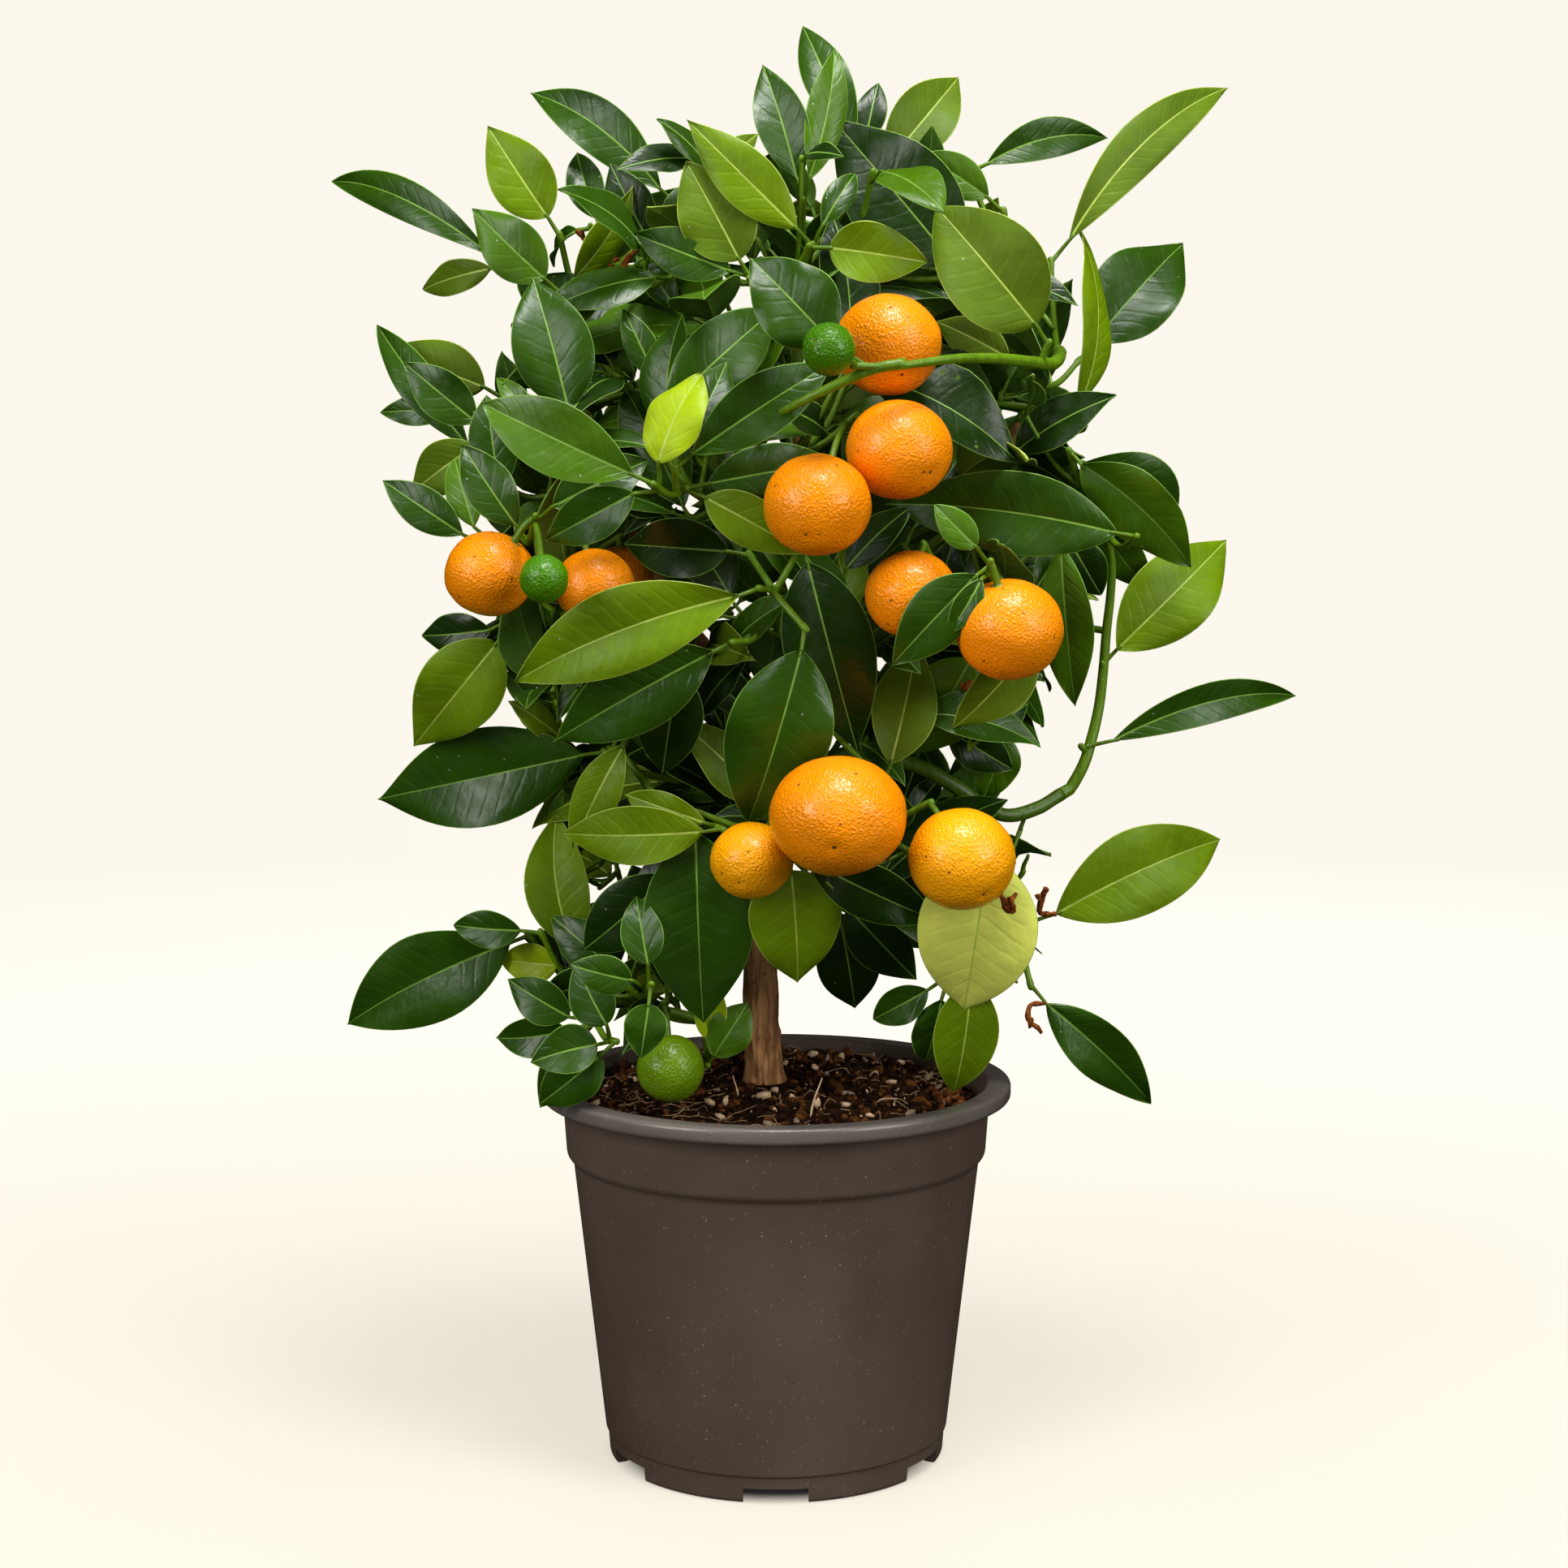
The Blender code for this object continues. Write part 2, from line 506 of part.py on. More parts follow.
class Mass:
    """One mass of foliage: its skeleton of twigs and the pieces that grow on it."""

    def __init__(self, name, space, limbs):
        carrier, stem, self.sprays, self.fill, centre, reach = FOLIAGE[name]
        self.name, self.space = name, space
        self.centre, self.reach = Vector(centre), Vector(reach)
        path, radii = limbs[carrier]
        if name == "foliage_basal":
            foot = height_on_path(path, 130)
            self.stem = seated_path((foot,) + stem, STEM_RADIUS, path, radii)
        elif carrier == "bough_back_left" and name == "foliage_left_upper":
            foot = path[-3]
            self.stem = seated_path((foot,) + stem, STEM_RADIUS, path, radii)
        else:
            along = (path[-1] - path[-2]).normalized()
            start = path[-1] + along * CLEARANCE
            self.stem = smooth_path((start, start + along * FIRST_STRAIGHT) + stem, TWIG_STEP)
        self.skeleton = smooth_path(self.stem, JOINT_SPACING)[2:]
        self.shapes = [tube_shape(self.stem, tapered(self.stem, STEM_RADIUS, TWIG_RADIUS), 4)]
        space.add(name, "twig", self.shapes[0])

    def joints(self, node):
        """The skeleton's points, the ones that a twig to the node would most likely leave from first."""
        ordered = sorted(self.skeleton, key=lambda point: (point - node).length + 0.3 * (point - self.stem[0]).length)
        return ordered[:21:3]

    def pieces(self, joint, node, items, grow):
        """The shapes of one spray with its twig, as kinds and shapes, and the twig's path."""
        out = []
        span = (node - joint).length
        twig = [joint, joint.lerp(node, 0.5) - Vector((0, 0, 0.12 * span)), node]
        if span < TWIG_BOW_SPAN:
            twig.pop(1)
        out.append(("twig", tube_shape(twig, tapered(twig, TWIG_RADIUS, TWIG_RADIUS * 0.8), 3, grow)))
        spacing = (twig[-2] - node).normalized() * min(LEAF_SPACING, 0.8 * (twig[-2] - node).length / len(items))
        for index, item in enumerate(items):
            foot = node + spacing * (index + 0.3)
            if item[0] == "fruit":
                _, centre, diameter, height = item
                top = centre + (foot - centre).normalized() * diameter * 0.3
                out.append(("twig", tube_shape([foot, top], [FRUIT_STALK_RADIUS] * 2, 3, grow)))
                out.append(("fruit", ball_shape(centre, diameter, height, grow)))
            else:
                make = leaf_shape if item[0] == "leaf" else plain_leaf_shape
                out.append(("leaf", make(foot, *item[1:], grow)))
        return out, twig

    def place(self, node, items):
        """Grows the spray from the first joint that leaves every piece clear, and tells whether one did."""
        for joint in self.joints(node):
            if (joint - node).length < 2:
                continue
            grown, _ = self.pieces(joint, node, items, CLEARANCE)
            if all(self.space.free(self.name, kind, shape) for kind, shape in grown):
                plain, twig = self.pieces(joint, node, items, 0.0)
                for kind, shape in plain:
                    self.space.add(self.name, kind, shape)
                    self.shapes.append(shape)
                self.skeleton.remove(joint)
                self.skeleton.extend(smooth_path(twig[:2], JOINT_SPACING)[1:-1])
                return True
        return False


def shaped_items(node, items):
    """A named spray's items with each leaf's base and directions worked out from its angles."""
    shaped = []
    for item in items:
        if item[0] == "fruit":
            shaped.append(item)
            continue
        _, bearing, length, width, lean, roll, stalk = item
        turn, tilt = math.radians(bearing), math.radians(lean)
        along = Vector((math.cos(turn) * math.cos(tilt), -math.sin(tilt), math.sin(turn) * math.cos(tilt)))
        normal = Vector((0, -1, 0))
        normal = (normal - along * normal.dot(along)).normalized()
        normal = Matrix.Rotation(math.radians(roll), 3, along) @ normal
        shaped.append(("leaf", node + along * stalk, along, normal, length, width))
    return shaped


def moved_items(items, shift):
    """The same items, shifted."""
    return [item[:1] + (item[1] + shift,) + item[2:] for item in items]


def place_named(mass, node, items):
    """Places a named spray, eased back or forward until it is clear of the rest."""
    shaped = shaped_items(node, items)
    for ease in (0, 3, -3, 6, -6, 9, -9, 12, -12, 16, 20, 25, 30):
        shift = Vector((0, ease, 0))
        if mass.place(node + shift, moved_items(shaped, shift)):
            return
    print("no room:", mass.name, tuple(round(value) for value in node))


def place_fill(mass, dice):
    """Places one spray of the seeded rule: a node within the mass's reach, with leaves fanned round its twig."""
    for _ in range(FILL_TRIES):
        ball = Vector((dice.gauss(0, 1), dice.gauss(0, 1), dice.gauss(0, 1))).normalized() * dice.random() ** 0.4
        node = mass.centre + Vector((ball.x * mass.reach.x, ball.y * mass.reach.y, ball.z * mass.reach.z))
        if not inside_crown(node):
            continue
        outward = (node - Vector((CROWN_CENTRE_X, 0, node.z - 25))).normalized()
        items = []
        turn = dice.uniform(0, 360)
        for _ in range(dice.randint(*LEAVES_PER_FILL)):
            turn += GOLDEN_ANGLE
            side = Matrix.Rotation(math.radians(turn), 3, outward) @ outward.orthogonal().normalized()
            along = (outward + side * dice.uniform(0.7, 1.5)).normalized()
            normal = Vector((0, 0, 0.8)) + outward * 0.7
            normal = (normal - along * normal.dot(along)).normalized()
            length = dice.uniform(*FILL_LEAF_LENGTHS)
            base = node + along * 5
            if inside_crown(base + along * length * 0.96) and inside_crown(base + along * length * 0.5):
                width = length * FILL_LEAF_RATIO * dice.uniform(0.9, 1.15)
                items.append(("plain leaf", base, along, normal, length, width))
        while len(items) > 1:
            if mass.place(node, items):
                return
            items.pop()
    print("no fill:", mass.name)


def grow_crown(limbs):
    """Every mass of foliage: fruit first, then the other named sprays, then the fill."""
    space = Space()
    for name, (path, radii) in limbs.items():
        space.add(name, "limb", tube_shape(path, radii, 8))
    pot_axis = [Vector((0, 0, 0)), Vector((0, 0, POT_HEIGHT))]
    space.add("pot", "limb", tube_shape(pot_axis, [FOOT_RADIUS, LIP_RADIUS], POT_SIDES))
    masses = [Mass(name, space, limbs) for name in FOLIAGE]
    for has_fruit in (True, False):
        for mass in masses:
            for node, items in mass.sprays:
                if any(item[0] == "fruit" for item in items) == has_fruit:
                    place_named(mass, node, items)
    dice = random.Random(SEED)
    for turn in range(max(mass.fill for mass in masses)):
        for mass in masses:
            if turn < mass.fill:
                place_fill(mass, dice)
    return masses


# Blender objects
def clear_scene():
    for obj in list(bpy.data.objects):
        bpy.data.objects.remove(obj, do_unlink=True)


def make_collection(name):
    collection = bpy.data.collections.new(name)
    bpy.context.scene.collection.children.link(collection)
    return collection


def make_material(name, color, roughness):
    material = bpy.data.materials.new(name)
    material.use_nodes = True
    shader = material.node_tree.nodes["Principled BSDF"]
    shader.inputs["Base Color"].default_value = color + (1.0,)
    shader.inputs["Roughness"].default_value = roughness
    shader.inputs["Metallic"].default_value = 0.0
    return material


def shape_object(name, shape, collection):
    """A mesh object in metres from corners and faces in millimetres."""
    corners, faces = shape
    mesh = bpy.data.meshes.new(name)
    mesh.from_pydata([tuple(corner * MM) for corner in corners], [], faces)
    obj = bpy.data.objects.new(name, mesh)
    collection.objects.link(obj)
    return obj


def bake_modifiers(obj):
    """Swaps the object's mesh for what its modifiers make of it."""
    depsgraph = bpy.context.evaluated_depsgraph_get()
    mesh = bpy.data.meshes.new_from_object(obj.evaluated_get(depsgraph))
    obj.modifiers.clear()
    old = obj.data
    obj.data = mesh
    bpy.data.meshes.remove(old)


def keep_largest_body(obj):
    """Drops the loose scraps that a union can leave."""
    shape = bmesh.new()
    shape.from_mesh(obj.data)
    left = set(shape.verts)
    bodies = []
    while left:
        front = [left.pop()]
        body = set(front)
        while front:
            for edge in front.pop().link_edges:
                for vert in edge.verts:
                    if vert in left:
                        left.discard(vert)
                        body.add(vert)
                        front.append(vert)
        bodies.append(body)
    bodies.sort(key=len)
    for body in bodies[:-1]:
        bmesh.ops.delete(shape, geom=list(body), context="VERTS")
    shape.to_mesh(obj.data)
    shape.free()


def keeps_its_sides(edge, middle):
    """Whether the edge can shrink to its middle with the surface still closed, no face turned over and no fold shut."""
    start, end = edge.verts
    around = [{link.other_vert(vert) for link in vert.link_edges} for vert in (start, end)]
    if len(around[0] & around[1]) != 2 or len(edge.link_faces) != 2:
        return False
    normals = {}
    for face in set(start.link_faces) ^ set(end.link_faces):
        before = [vert.co for vert in face.verts]
        after = [middle if vert in (start, end) else vert.co for vert in face.verts]
        old = (before[1] - before[0]).cross(before[2] - before[0])
        new = (after[1] - after[0]).cross(after[2] - after[0])
        if new.length < 1e-12 or old.dot(new) < LEAST_NORMAL_MATCH * old.length * new.length:
            return False
        normals[face] = new.normalized()
    for face, normal in normals.items():
        for side in face.edges:
            for other in side.link_faces:
                if other in edge.link_faces or other is face:
                    continue
                if normal.dot(normals.get(other, other.normal)) < SHUT_FOLD:
                    return False
    return True


def merge_short_edges(obj):
    """Shrinks the short edges that a union leaves where pieces cross."""
    shape = bmesh.new()
    shape.from_mesh(obj.data)
    bmesh.ops.triangulate(shape, faces=shape.faces)
    shape.normal_update()
    for limit in (SHORT_EDGE / 4, SHORT_EDGE / 2, SHORT_EDGE):
        for edge in sorted(shape.edges, key=lambda edge: edge.calc_length()):
            if not edge.is_valid or edge.calc_length() > limit * MM:
                continue
            middle = (edge.verts[0].co + edge.verts[1].co) / 2
            if keeps_its_sides(edge, middle):
                kept = edge.verts[0]
                bmesh.ops.pointmerge(shape, verts=list(edge.verts), merge_co=middle)
                for face in kept.link_faces if kept.is_valid else ():
                    face.normal_update()
    shape.to_mesh(obj.data)
    shape.free()


def turned(name, profile, collection):
    """A solid of revolution from its profile, top to bottom on the outer side."""
    mesh = bpy.data.meshes.new(name)
    edges = [(index, index + 1) for index in range(len(profile) - 1)]
    mesh.from_pydata([(radius * MM, 0, height * MM) for radius, height in profile], edges, [])
    obj = bpy.data.objects.new(name, mesh)
    collection.objects.link(obj)
    screw = obj.modifiers.new("Screw", "SCREW")
    screw.steps = screw.render_steps = POT_SIDES
    screw.use_merge_vertices = True
    screw.merge_threshold = 1e-5
    return obj


def make_pot(collection, cutters, material):
    """The pot: rolled lip, collar, tapering body, foot ring with notches and a raised base with drain holes."""
    lip_foot = POT_HEIGHT - LIP_HEIGHT
    ring = FOOT_RADIUS - FOOT_RING_WIDTH
    floor = BASE_RAISE + BASE_THICKNESS
    profile = [
        (COLLAR_TOP_RADIUS + 1.2, POT_HEIGHT),
        (LIP_RADIUS - LIP_EDGE, POT_HEIGHT),
        (LIP_RADIUS, POT_HEIGHT - LIP_EDGE),
        (LIP_RADIUS, lip_foot),
        (COLLAR_TOP_RADIUS + 0.8, lip_foot),
        (COLLAR_TOP_RADIUS, lip_foot - 1.2),
        (COLLAR_FOOT_RADIUS, COLLAR_FOOT_Z),
        (COLLAR_FOOT_RADIUS - 0.6, COLLAR_FOOT_Z - 0.8),
        (BODY_TOP_RADIUS, BODY_TOP_Z),
        (BODY_FOOT_RADIUS, FOOT_BAND_Z + 0.6),
        (FOOT_BAND_RADIUS, FOOT_BAND_Z),
        (FOOT_RADIUS, 0.0),
        (ring, 0.0),
        (ring - 1.0, BASE_RAISE),
        (BASE_DISC_RADIUS + 3.0, BASE_RAISE),
        (BASE_DISC_RADIUS, 0.0),
        (0.0, 0.0),
    ]
    inside = [
        (0.0, BASE_THICKNESS),
        (BASE_DISC_RADIUS - 1.5, BASE_THICKNESS),
        (BASE_DISC_RADIUS + 1.5, floor),
        (BODY_FOOT_RADIUS - WALL, floor),
        (BODY_TOP_RADIUS - WALL, BODY_TOP_Z),
        (COLLAR_FOOT_RADIUS - WALL, COLLAR_FOOT_Z),
        (COLLAR_TOP_RADIUS - WALL, lip_foot),
        (COLLAR_TOP_RADIUS - 0.6, POT_HEIGHT - 0.8),
    ]
    pot = turned("pot", profile + inside + profile[:1], collection)
    bake_modifiers(pot)
    reach = (ring - 3.0, FOOT_RADIUS + 4.0)
    for index in range(NOTCH_COUNT):
        angle = math.radians(-90 + 360 * index / NOTCH_COUNT)
        direction = Vector((math.cos(angle), math.sin(angle), 0))
        notch_mesh = bmesh.new()
        bmesh.ops.create_cube(notch_mesh, size=1.0)
        bmesh.ops.scale(
            notch_mesh, verts=notch_mesh.verts,
            vec=((reach[1] - reach[0]) * MM, NOTCH_WIDTH * MM, 2 * NOTCH_HEIGHT * MM),
        )
        add_cutter(f"notch_cutter_{index}", notch_mesh, direction * (reach[0] + reach[1]) / 2, angle, cutters)
        hole_mesh = bmesh.new()
        bmesh.ops.create_cone(
            hole_mesh, cap_ends=True, segments=16, depth=20 * MM,
            radius1=DRAIN_HOLE_RADIUS * MM, radius2=DRAIN_HOLE_RADIUS * MM,
        )
        place = direction * DRAIN_HOLE_PLACE + Vector((0, 0, BASE_RAISE))
        add_cutter(f"drain_cutter_{index}", hole_mesh, place, angle, cutters)
    cut = pot.modifiers.new("Notches and drain holes", "BOOLEAN")
    cut.operation = "DIFFERENCE"
    cut.operand_type = "COLLECTION"
    cut.collection = cutters
    cut.solver = "EXACT"
    finish_object(pot, material, smooth=True)


def add_cutter(name, shape, place, angle, cutters):
    mesh = bpy.data.meshes.new(name)
    shape.to_mesh(mesh)
    shape.free()
    cutter = bpy.data.objects.new(name, mesh)
    cutter.location = place * MM
    cutter.rotation_euler = (0, 0, angle)
    cutter.hide_render = True
    cutter.display_type = "WIRE"
    cutters.objects.link(cutter)


def make_soil(collection, material):
    """The root ball's soil: it fills the pot to a low mound with a flat place at the trunk's foot."""
    floor = BASE_RAISE + BASE_THICKNESS + CLEARANCE
    gap = WALL + CLEARANCE * 1.4
    edge = COLLAR_FOOT_RADIUS - gap + (SOIL_EDGE_Z - COLLAR_FOOT_Z) * 0.04
    mound = (SOIL_TOP_Z - SOIL_EDGE_Z) / 3
    profile = [
        (0.0, SOIL_TOP_Z),
        (SOIL_FLAT_RADIUS, SOIL_TOP_Z),
        (SOIL_FLAT_RADIUS + 14, SOIL_TOP_Z - mound),
        (edge - 12, SOIL_EDGE_Z + mound * 0.6),
        (edge, SOIL_EDGE_Z),
        (COLLAR_FOOT_RADIUS - gap, COLLAR_FOOT_Z),
        (BODY_TOP_RADIUS - gap, BODY_TOP_Z),
        (BODY_FOOT_RADIUS - gap, floor),
        (0.0, floor),
    ]
    soil = turned("soil", profile, collection)
    finish_object(soil, material, smooth=False)


def make_limb(name, path, radii, sides_detail, collection, material):
    """A tapering limb: a curve whose points carry its radius in millimetres."""
    curve = bpy.data.curves.new(name, "CURVE")
    curve.dimensions = "3D"
    curve.bevel_depth = MM
    curve.bevel_resolution = sides_detail
    curve.use_fill_caps = True
    spline = curve.splines.new("POLY")
    spline.points.add(len(path) - 1)
    for point, place, radius in zip(spline.points, path, radii):
        point.co = tuple(place * MM) + (1.0,)
        point.radius = radius
    limb = bpy.data.objects.new(name, curve)
    collection.objects.link(limb)
    curve.materials.append(material)


def make_mass(mass, collection, material):
    """One mass of foliage: its stem, joined with its twigs, leaves and fruit by one union."""
    loose = bpy.data.collections.new(mass.name + "_pieces")
    bpy.context.scene.collection.children.link(loose)
    body = shape_object(mass.name, mass.shapes[0], collection)
    for index, shape in enumerate(mass.shapes[1:]):
        shape_object(f"{mass.name}_piece_{index}", shape, loose)
    union = body.modifiers.new("Union", "BOOLEAN")
    union.operation = "UNION"
    union.operand_type = "COLLECTION"
    union.collection = loose
    union.solver = "MANIFOLD"
    bpy.context.view_layer.update()
    bake_modifiers(body)
    for piece in list(loose.objects):
        bpy.data.objects.remove(piece, do_unlink=True)
    bpy.data.collections.remove(loose)
    keep_largest_body(body)
    merge_short_edges(body)
    finish_object(body, material, smooth=False)


def finish_object(obj, material, smooth):
    obj.data.materials.clear()
    obj.data.materials.append(material)
    if smooth:
        obj.data.shade_smooth()
        obj.data.set_sharp_from_angle(angle=math.radians(30))


def main():
    clear_scene()
    tree = make_collection("calamondin_tree")
    cutters = make_collection("cutters")
    pot_plastic = make_material("pot_plastic", (0.045, 0.035, 0.028), 0.55)
    soil_brown = make_material("potting_soil", (0.035, 0.018, 0.010), 0.95)
    bark = make_material("bark", (0.20, 0.12, 0.065), 0.8)
    green_bark = make_material("green_bark", (0.09, 0.15, 0.03), 0.6)
    leaf_green = make_material("leaf_green", (0.03, 0.10, 0.015), 0.35)
    make_pot(tree, cutters, pot_plastic)
    make_soil(tree, soil_brown)
    limbs = grow_limbs()
    for name, (path, radii) in limbs.items():
        woody = name in ("trunk", "bough_top_centre", "bough_top_left", "bough_top_right")
        make_limb(name, path, radii, 3 if name == "trunk" else 1, tree, bark if woody else green_bark)
    for mass in grow_crown(limbs):
        make_mass(mass, tree, leaf_green)


main()
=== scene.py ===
import json
import math
import random
from collections import namedtuple
from functools import lru_cache
from itertools import chain

import bmesh
import bpy
import numpy as np
from mathutils import Matrix, Vector, noise
from mathutils.bvhtree import BVHTree

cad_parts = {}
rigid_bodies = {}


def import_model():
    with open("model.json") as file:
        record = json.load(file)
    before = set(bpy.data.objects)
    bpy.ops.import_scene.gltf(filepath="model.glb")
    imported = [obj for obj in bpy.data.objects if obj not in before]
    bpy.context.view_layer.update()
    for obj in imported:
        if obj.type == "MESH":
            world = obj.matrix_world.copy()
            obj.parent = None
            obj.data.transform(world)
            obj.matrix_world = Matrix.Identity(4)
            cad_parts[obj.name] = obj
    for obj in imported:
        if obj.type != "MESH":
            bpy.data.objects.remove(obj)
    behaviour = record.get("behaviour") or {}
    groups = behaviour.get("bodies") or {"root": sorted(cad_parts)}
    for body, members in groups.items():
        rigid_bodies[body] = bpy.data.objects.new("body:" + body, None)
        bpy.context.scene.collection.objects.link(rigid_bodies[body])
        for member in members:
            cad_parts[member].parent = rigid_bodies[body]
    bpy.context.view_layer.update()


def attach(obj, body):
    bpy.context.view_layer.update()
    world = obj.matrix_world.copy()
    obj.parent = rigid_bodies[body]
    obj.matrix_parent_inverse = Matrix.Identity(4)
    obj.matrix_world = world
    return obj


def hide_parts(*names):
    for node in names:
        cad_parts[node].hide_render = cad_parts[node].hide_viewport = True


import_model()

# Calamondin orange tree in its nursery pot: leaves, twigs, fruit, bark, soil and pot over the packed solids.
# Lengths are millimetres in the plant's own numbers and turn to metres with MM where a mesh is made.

bl_info = {
    "name": "Calamondin tree",
    "version": (1, 0, 0),
    "blender": (4, 5, 0),
    "location": "View3D > Sidebar > Calamondin",
    "description": "Grows a potted calamondin orange tree over its packed solids",
    "category": "Object",
}

MM = 0.001

# Pot and soil, as in the solids
POT_HEIGHT = 121.0
WALL = 1.8
LIP_RADIUS = 75.0
LIP_HEIGHT = 5.0
COLLAR_TOP_RADIUS = 68.2
COLLAR_FOOT_RADIUS = 67.0
COLLAR_FOOT_Z = 98.0
BODY_TOP_RADIUS = 65.0
BODY_TOP_Z = 96.2
BODY_FOOT_RADIUS = 55.1
FOOT_BAND_Z = 8.2
FOOT_BAND_RADIUS = 54.4
FOOT_RADIUS = 53.8
FOOT_RING_WIDTH = 4.0
BASE_THICKNESS = 2.4
BASE_RAISE = 5.2
BASE_DISC_RADIUS = 27.0
NOTCH_COUNT = 6
NOTCH_WIDTH = 20.0
NOTCH_HEIGHT = 4.8
DRAIN_HOLE_RADIUS = 4.0
DRAIN_HOLE_PLACE = 41.0
SOIL_EDGE_Z = 112.0
SOIL_TOP_Z = 118.5
SOIL_FLAT_RADIUS = 20.0

# How the crown grows, as in the solids
CLEARANCE = 0.3
SEED = 42
TRUNK_PATH = ((-4, 5, 118.8), (-4, 5, 125), (-5, 5, 158), (-1, 5, 200), (6, 5, 240))
TRUNK_FOOT_RADIUS = 6.0
TRUNK_FORK_RADIUS = 4.4
FLARE_HEIGHT = 9.0
FLARE_RINGS = (2.5, 6.2)
CROWN_CENTRE_X = 4.0
CROWN_OUTLINE = (
    (128, 60), (150, 76), (175, 82), (215, 88), (260, 98), (330, 100), (375, 92), (405, 74), (432, 30),
)
CROWN_DEPTH = 0.94
FRONT_DEPTH = -62.0
RIM_CLEAR_Z = 127.0
BASAL_FOOT_Z = 130.0
LEAF_THICKNESS = 0.022
LEAF_DROOP = 22.0
PETIOLE_RADIUS = 0.6
FRUIT_STALK_RADIUS = 0.8
LEAF_SPACING = 3.0
JOINT_SPACING = 4.0
NEAREST_JOINT = 2.0
TWIG_RADIUS = 1.15
TWIG_TAPER = 0.8
TWIG_SAG = 0.12
STEM_RADIUS = 1.5
TWIG_STEP = 11.0
FIRST_STRAIGHT = 3.0
TWIG_BOW_SPAN = 18.0
GOLDEN_ANGLE = 137.5
MOST_PIECES = 9000
# How far a named spray may ease back or forward, in the order of the tries
EASES = (0, 3, -3, 6, -6, 9, -9, 12, -12, 16, 20, 25, 30)

# A rule for seeded sprays. A lower pull draws their ends outward, front is the farthest that they stand
# forward, fewest is how many leaves a spray keeps at least, rootward is how much a twig would rather leave
# near the stem's foot, and joints are the ones that it is tried from.
Rule = namedtuple("Rule", "tries pull front count lengths spread facing fewest radius rootward joints")
FILL = Rule(
    tries=160, pull=0.4, front=FRONT_DEPTH, count=(3, 5), lengths=(34.0, 54.0), spread=(0.7, 1.5), facing=0.0,
    fewest=2, radius=TWIG_RADIUS, rootward=0.3, joints=slice(0, 21, 3),
)
SEEDED_STALK = 5.0
SEEDED_LEAF_RATIO = 0.44
SEEDED_LEAF_SPREAD = (0.9, 1.15)

# What only the scene has: finer sprays, seeded leaves turned to face front or back, places left open, and
# a root flare slimmer than the solid's
FINE = Rule(
    tries=40, pull=0.33, front=-34.0, count=(2, 4), lengths=(17.0, 40.0), spread=(0.5, 1.6), facing=1.2,
    fewest=1, radius=TWIG_RADIUS * 0.75, rootward=0.0, joints=slice(0, 10, 2),
)
LEAST_FACING = 0.3
FACING_TURN = 32.0
# Places that the photo shows open: centre and radius
OPEN_PLACES = (((-60, -20, 188), 13.0), ((92, -10, 206), 24.0), ((47, -14, 398), 24.0))
TRUNK_FLARE_RADIUS = 7.3
# The tones of seeded leaves, by their share
TONE_SHARES = (("deep", 0.42), ("dark", 0.32), ("mid", 0.14), ("bright", 0.07), ("olive", 0.05))

# Leaf meshes: rows along a blade and strips across each half, for named and for seeded leaves
NAMED_NET = (26, 4)
SEEDED_NET = (16, 2)
LEAF_MAP = "leaf"
VEIN_SPACING = 5.2
VEIN_HEIGHT = 0.035
# The named blades are longer than the solids' by this share, because they droop
DROOP_STRETCH = 1.07
RIB_WIDTH = 0.34
RIB_SINK = 0.16
RIB_DEPTH = 0.55
# The margin strip of this width carries a painted edge highlight in the midrib colour
HIGHLIGHT_RIM_WIDTH = 0.24
LEAST_HALF_WIDTH = 0.12
LEAF_STALK_RADII = (0.8, 0.55)
# How single leaves differ: where a blade is widest, its fold, curl, waves, twist, sideways sway and droop
BLADE_RISE = (0.85, 1.05)
BLADE_FALL = (0.98, 1.2)
BLADE_FOLD = (4, 20)
BLADE_CURL = (0.0, 0.22)
BLADE_WAVES = (1.0, 2.4)
BLADE_WAVE = (0.02, 0.07)
BLADE_TWIST = (-16, 16)
BLADE_SWAY = (-0.05, 0.05)
BLADE_DROOP = (-6, 8)

Leaf = namedtuple("Leaf", "tone bearing length width lean roll stalk bow")
Blade = namedtuple("Blade", "tone plain base along normal length width bow")
Fruit = namedtuple("Fruit", "ripeness centre diameter height")
Twig = namedtuple("Twig", "path feet first last")


def leaf(tone, bearing, length, width, lean=0, roll=0, stalk=6, bow=0):
    """A leaf of a spray: its tone, its bearing seen from the front, its size, how far it leans forward, its
    turn about its own length, the length of its stalk and how far its middle bows to the left of its way."""
    return Leaf(tone, bearing, length, width, lean, roll, stalk, bow)


def fruit(ripeness, x, y, z, diameter, height=0.94):
    """A fruit of a spray: how ripe it is, its centre, its diameter and its height as a share of that."""
    return Fruit(ripeness, Vector((x, y, z)), diameter, height)


def spray(x, y, z, *items):
    """A twig's end with what grows there."""
    return (Vector((x, y, z)), items)


def foliage(carrier, stem, fill, middle, reach, *sprays):
    """A mass of foliage: the limb that carries it, its stem, how many seeded sprays fill it, their middle,
    how far they reach from it, and its named sprays."""
    return carrier, stem, fill, middle, reach, sprays


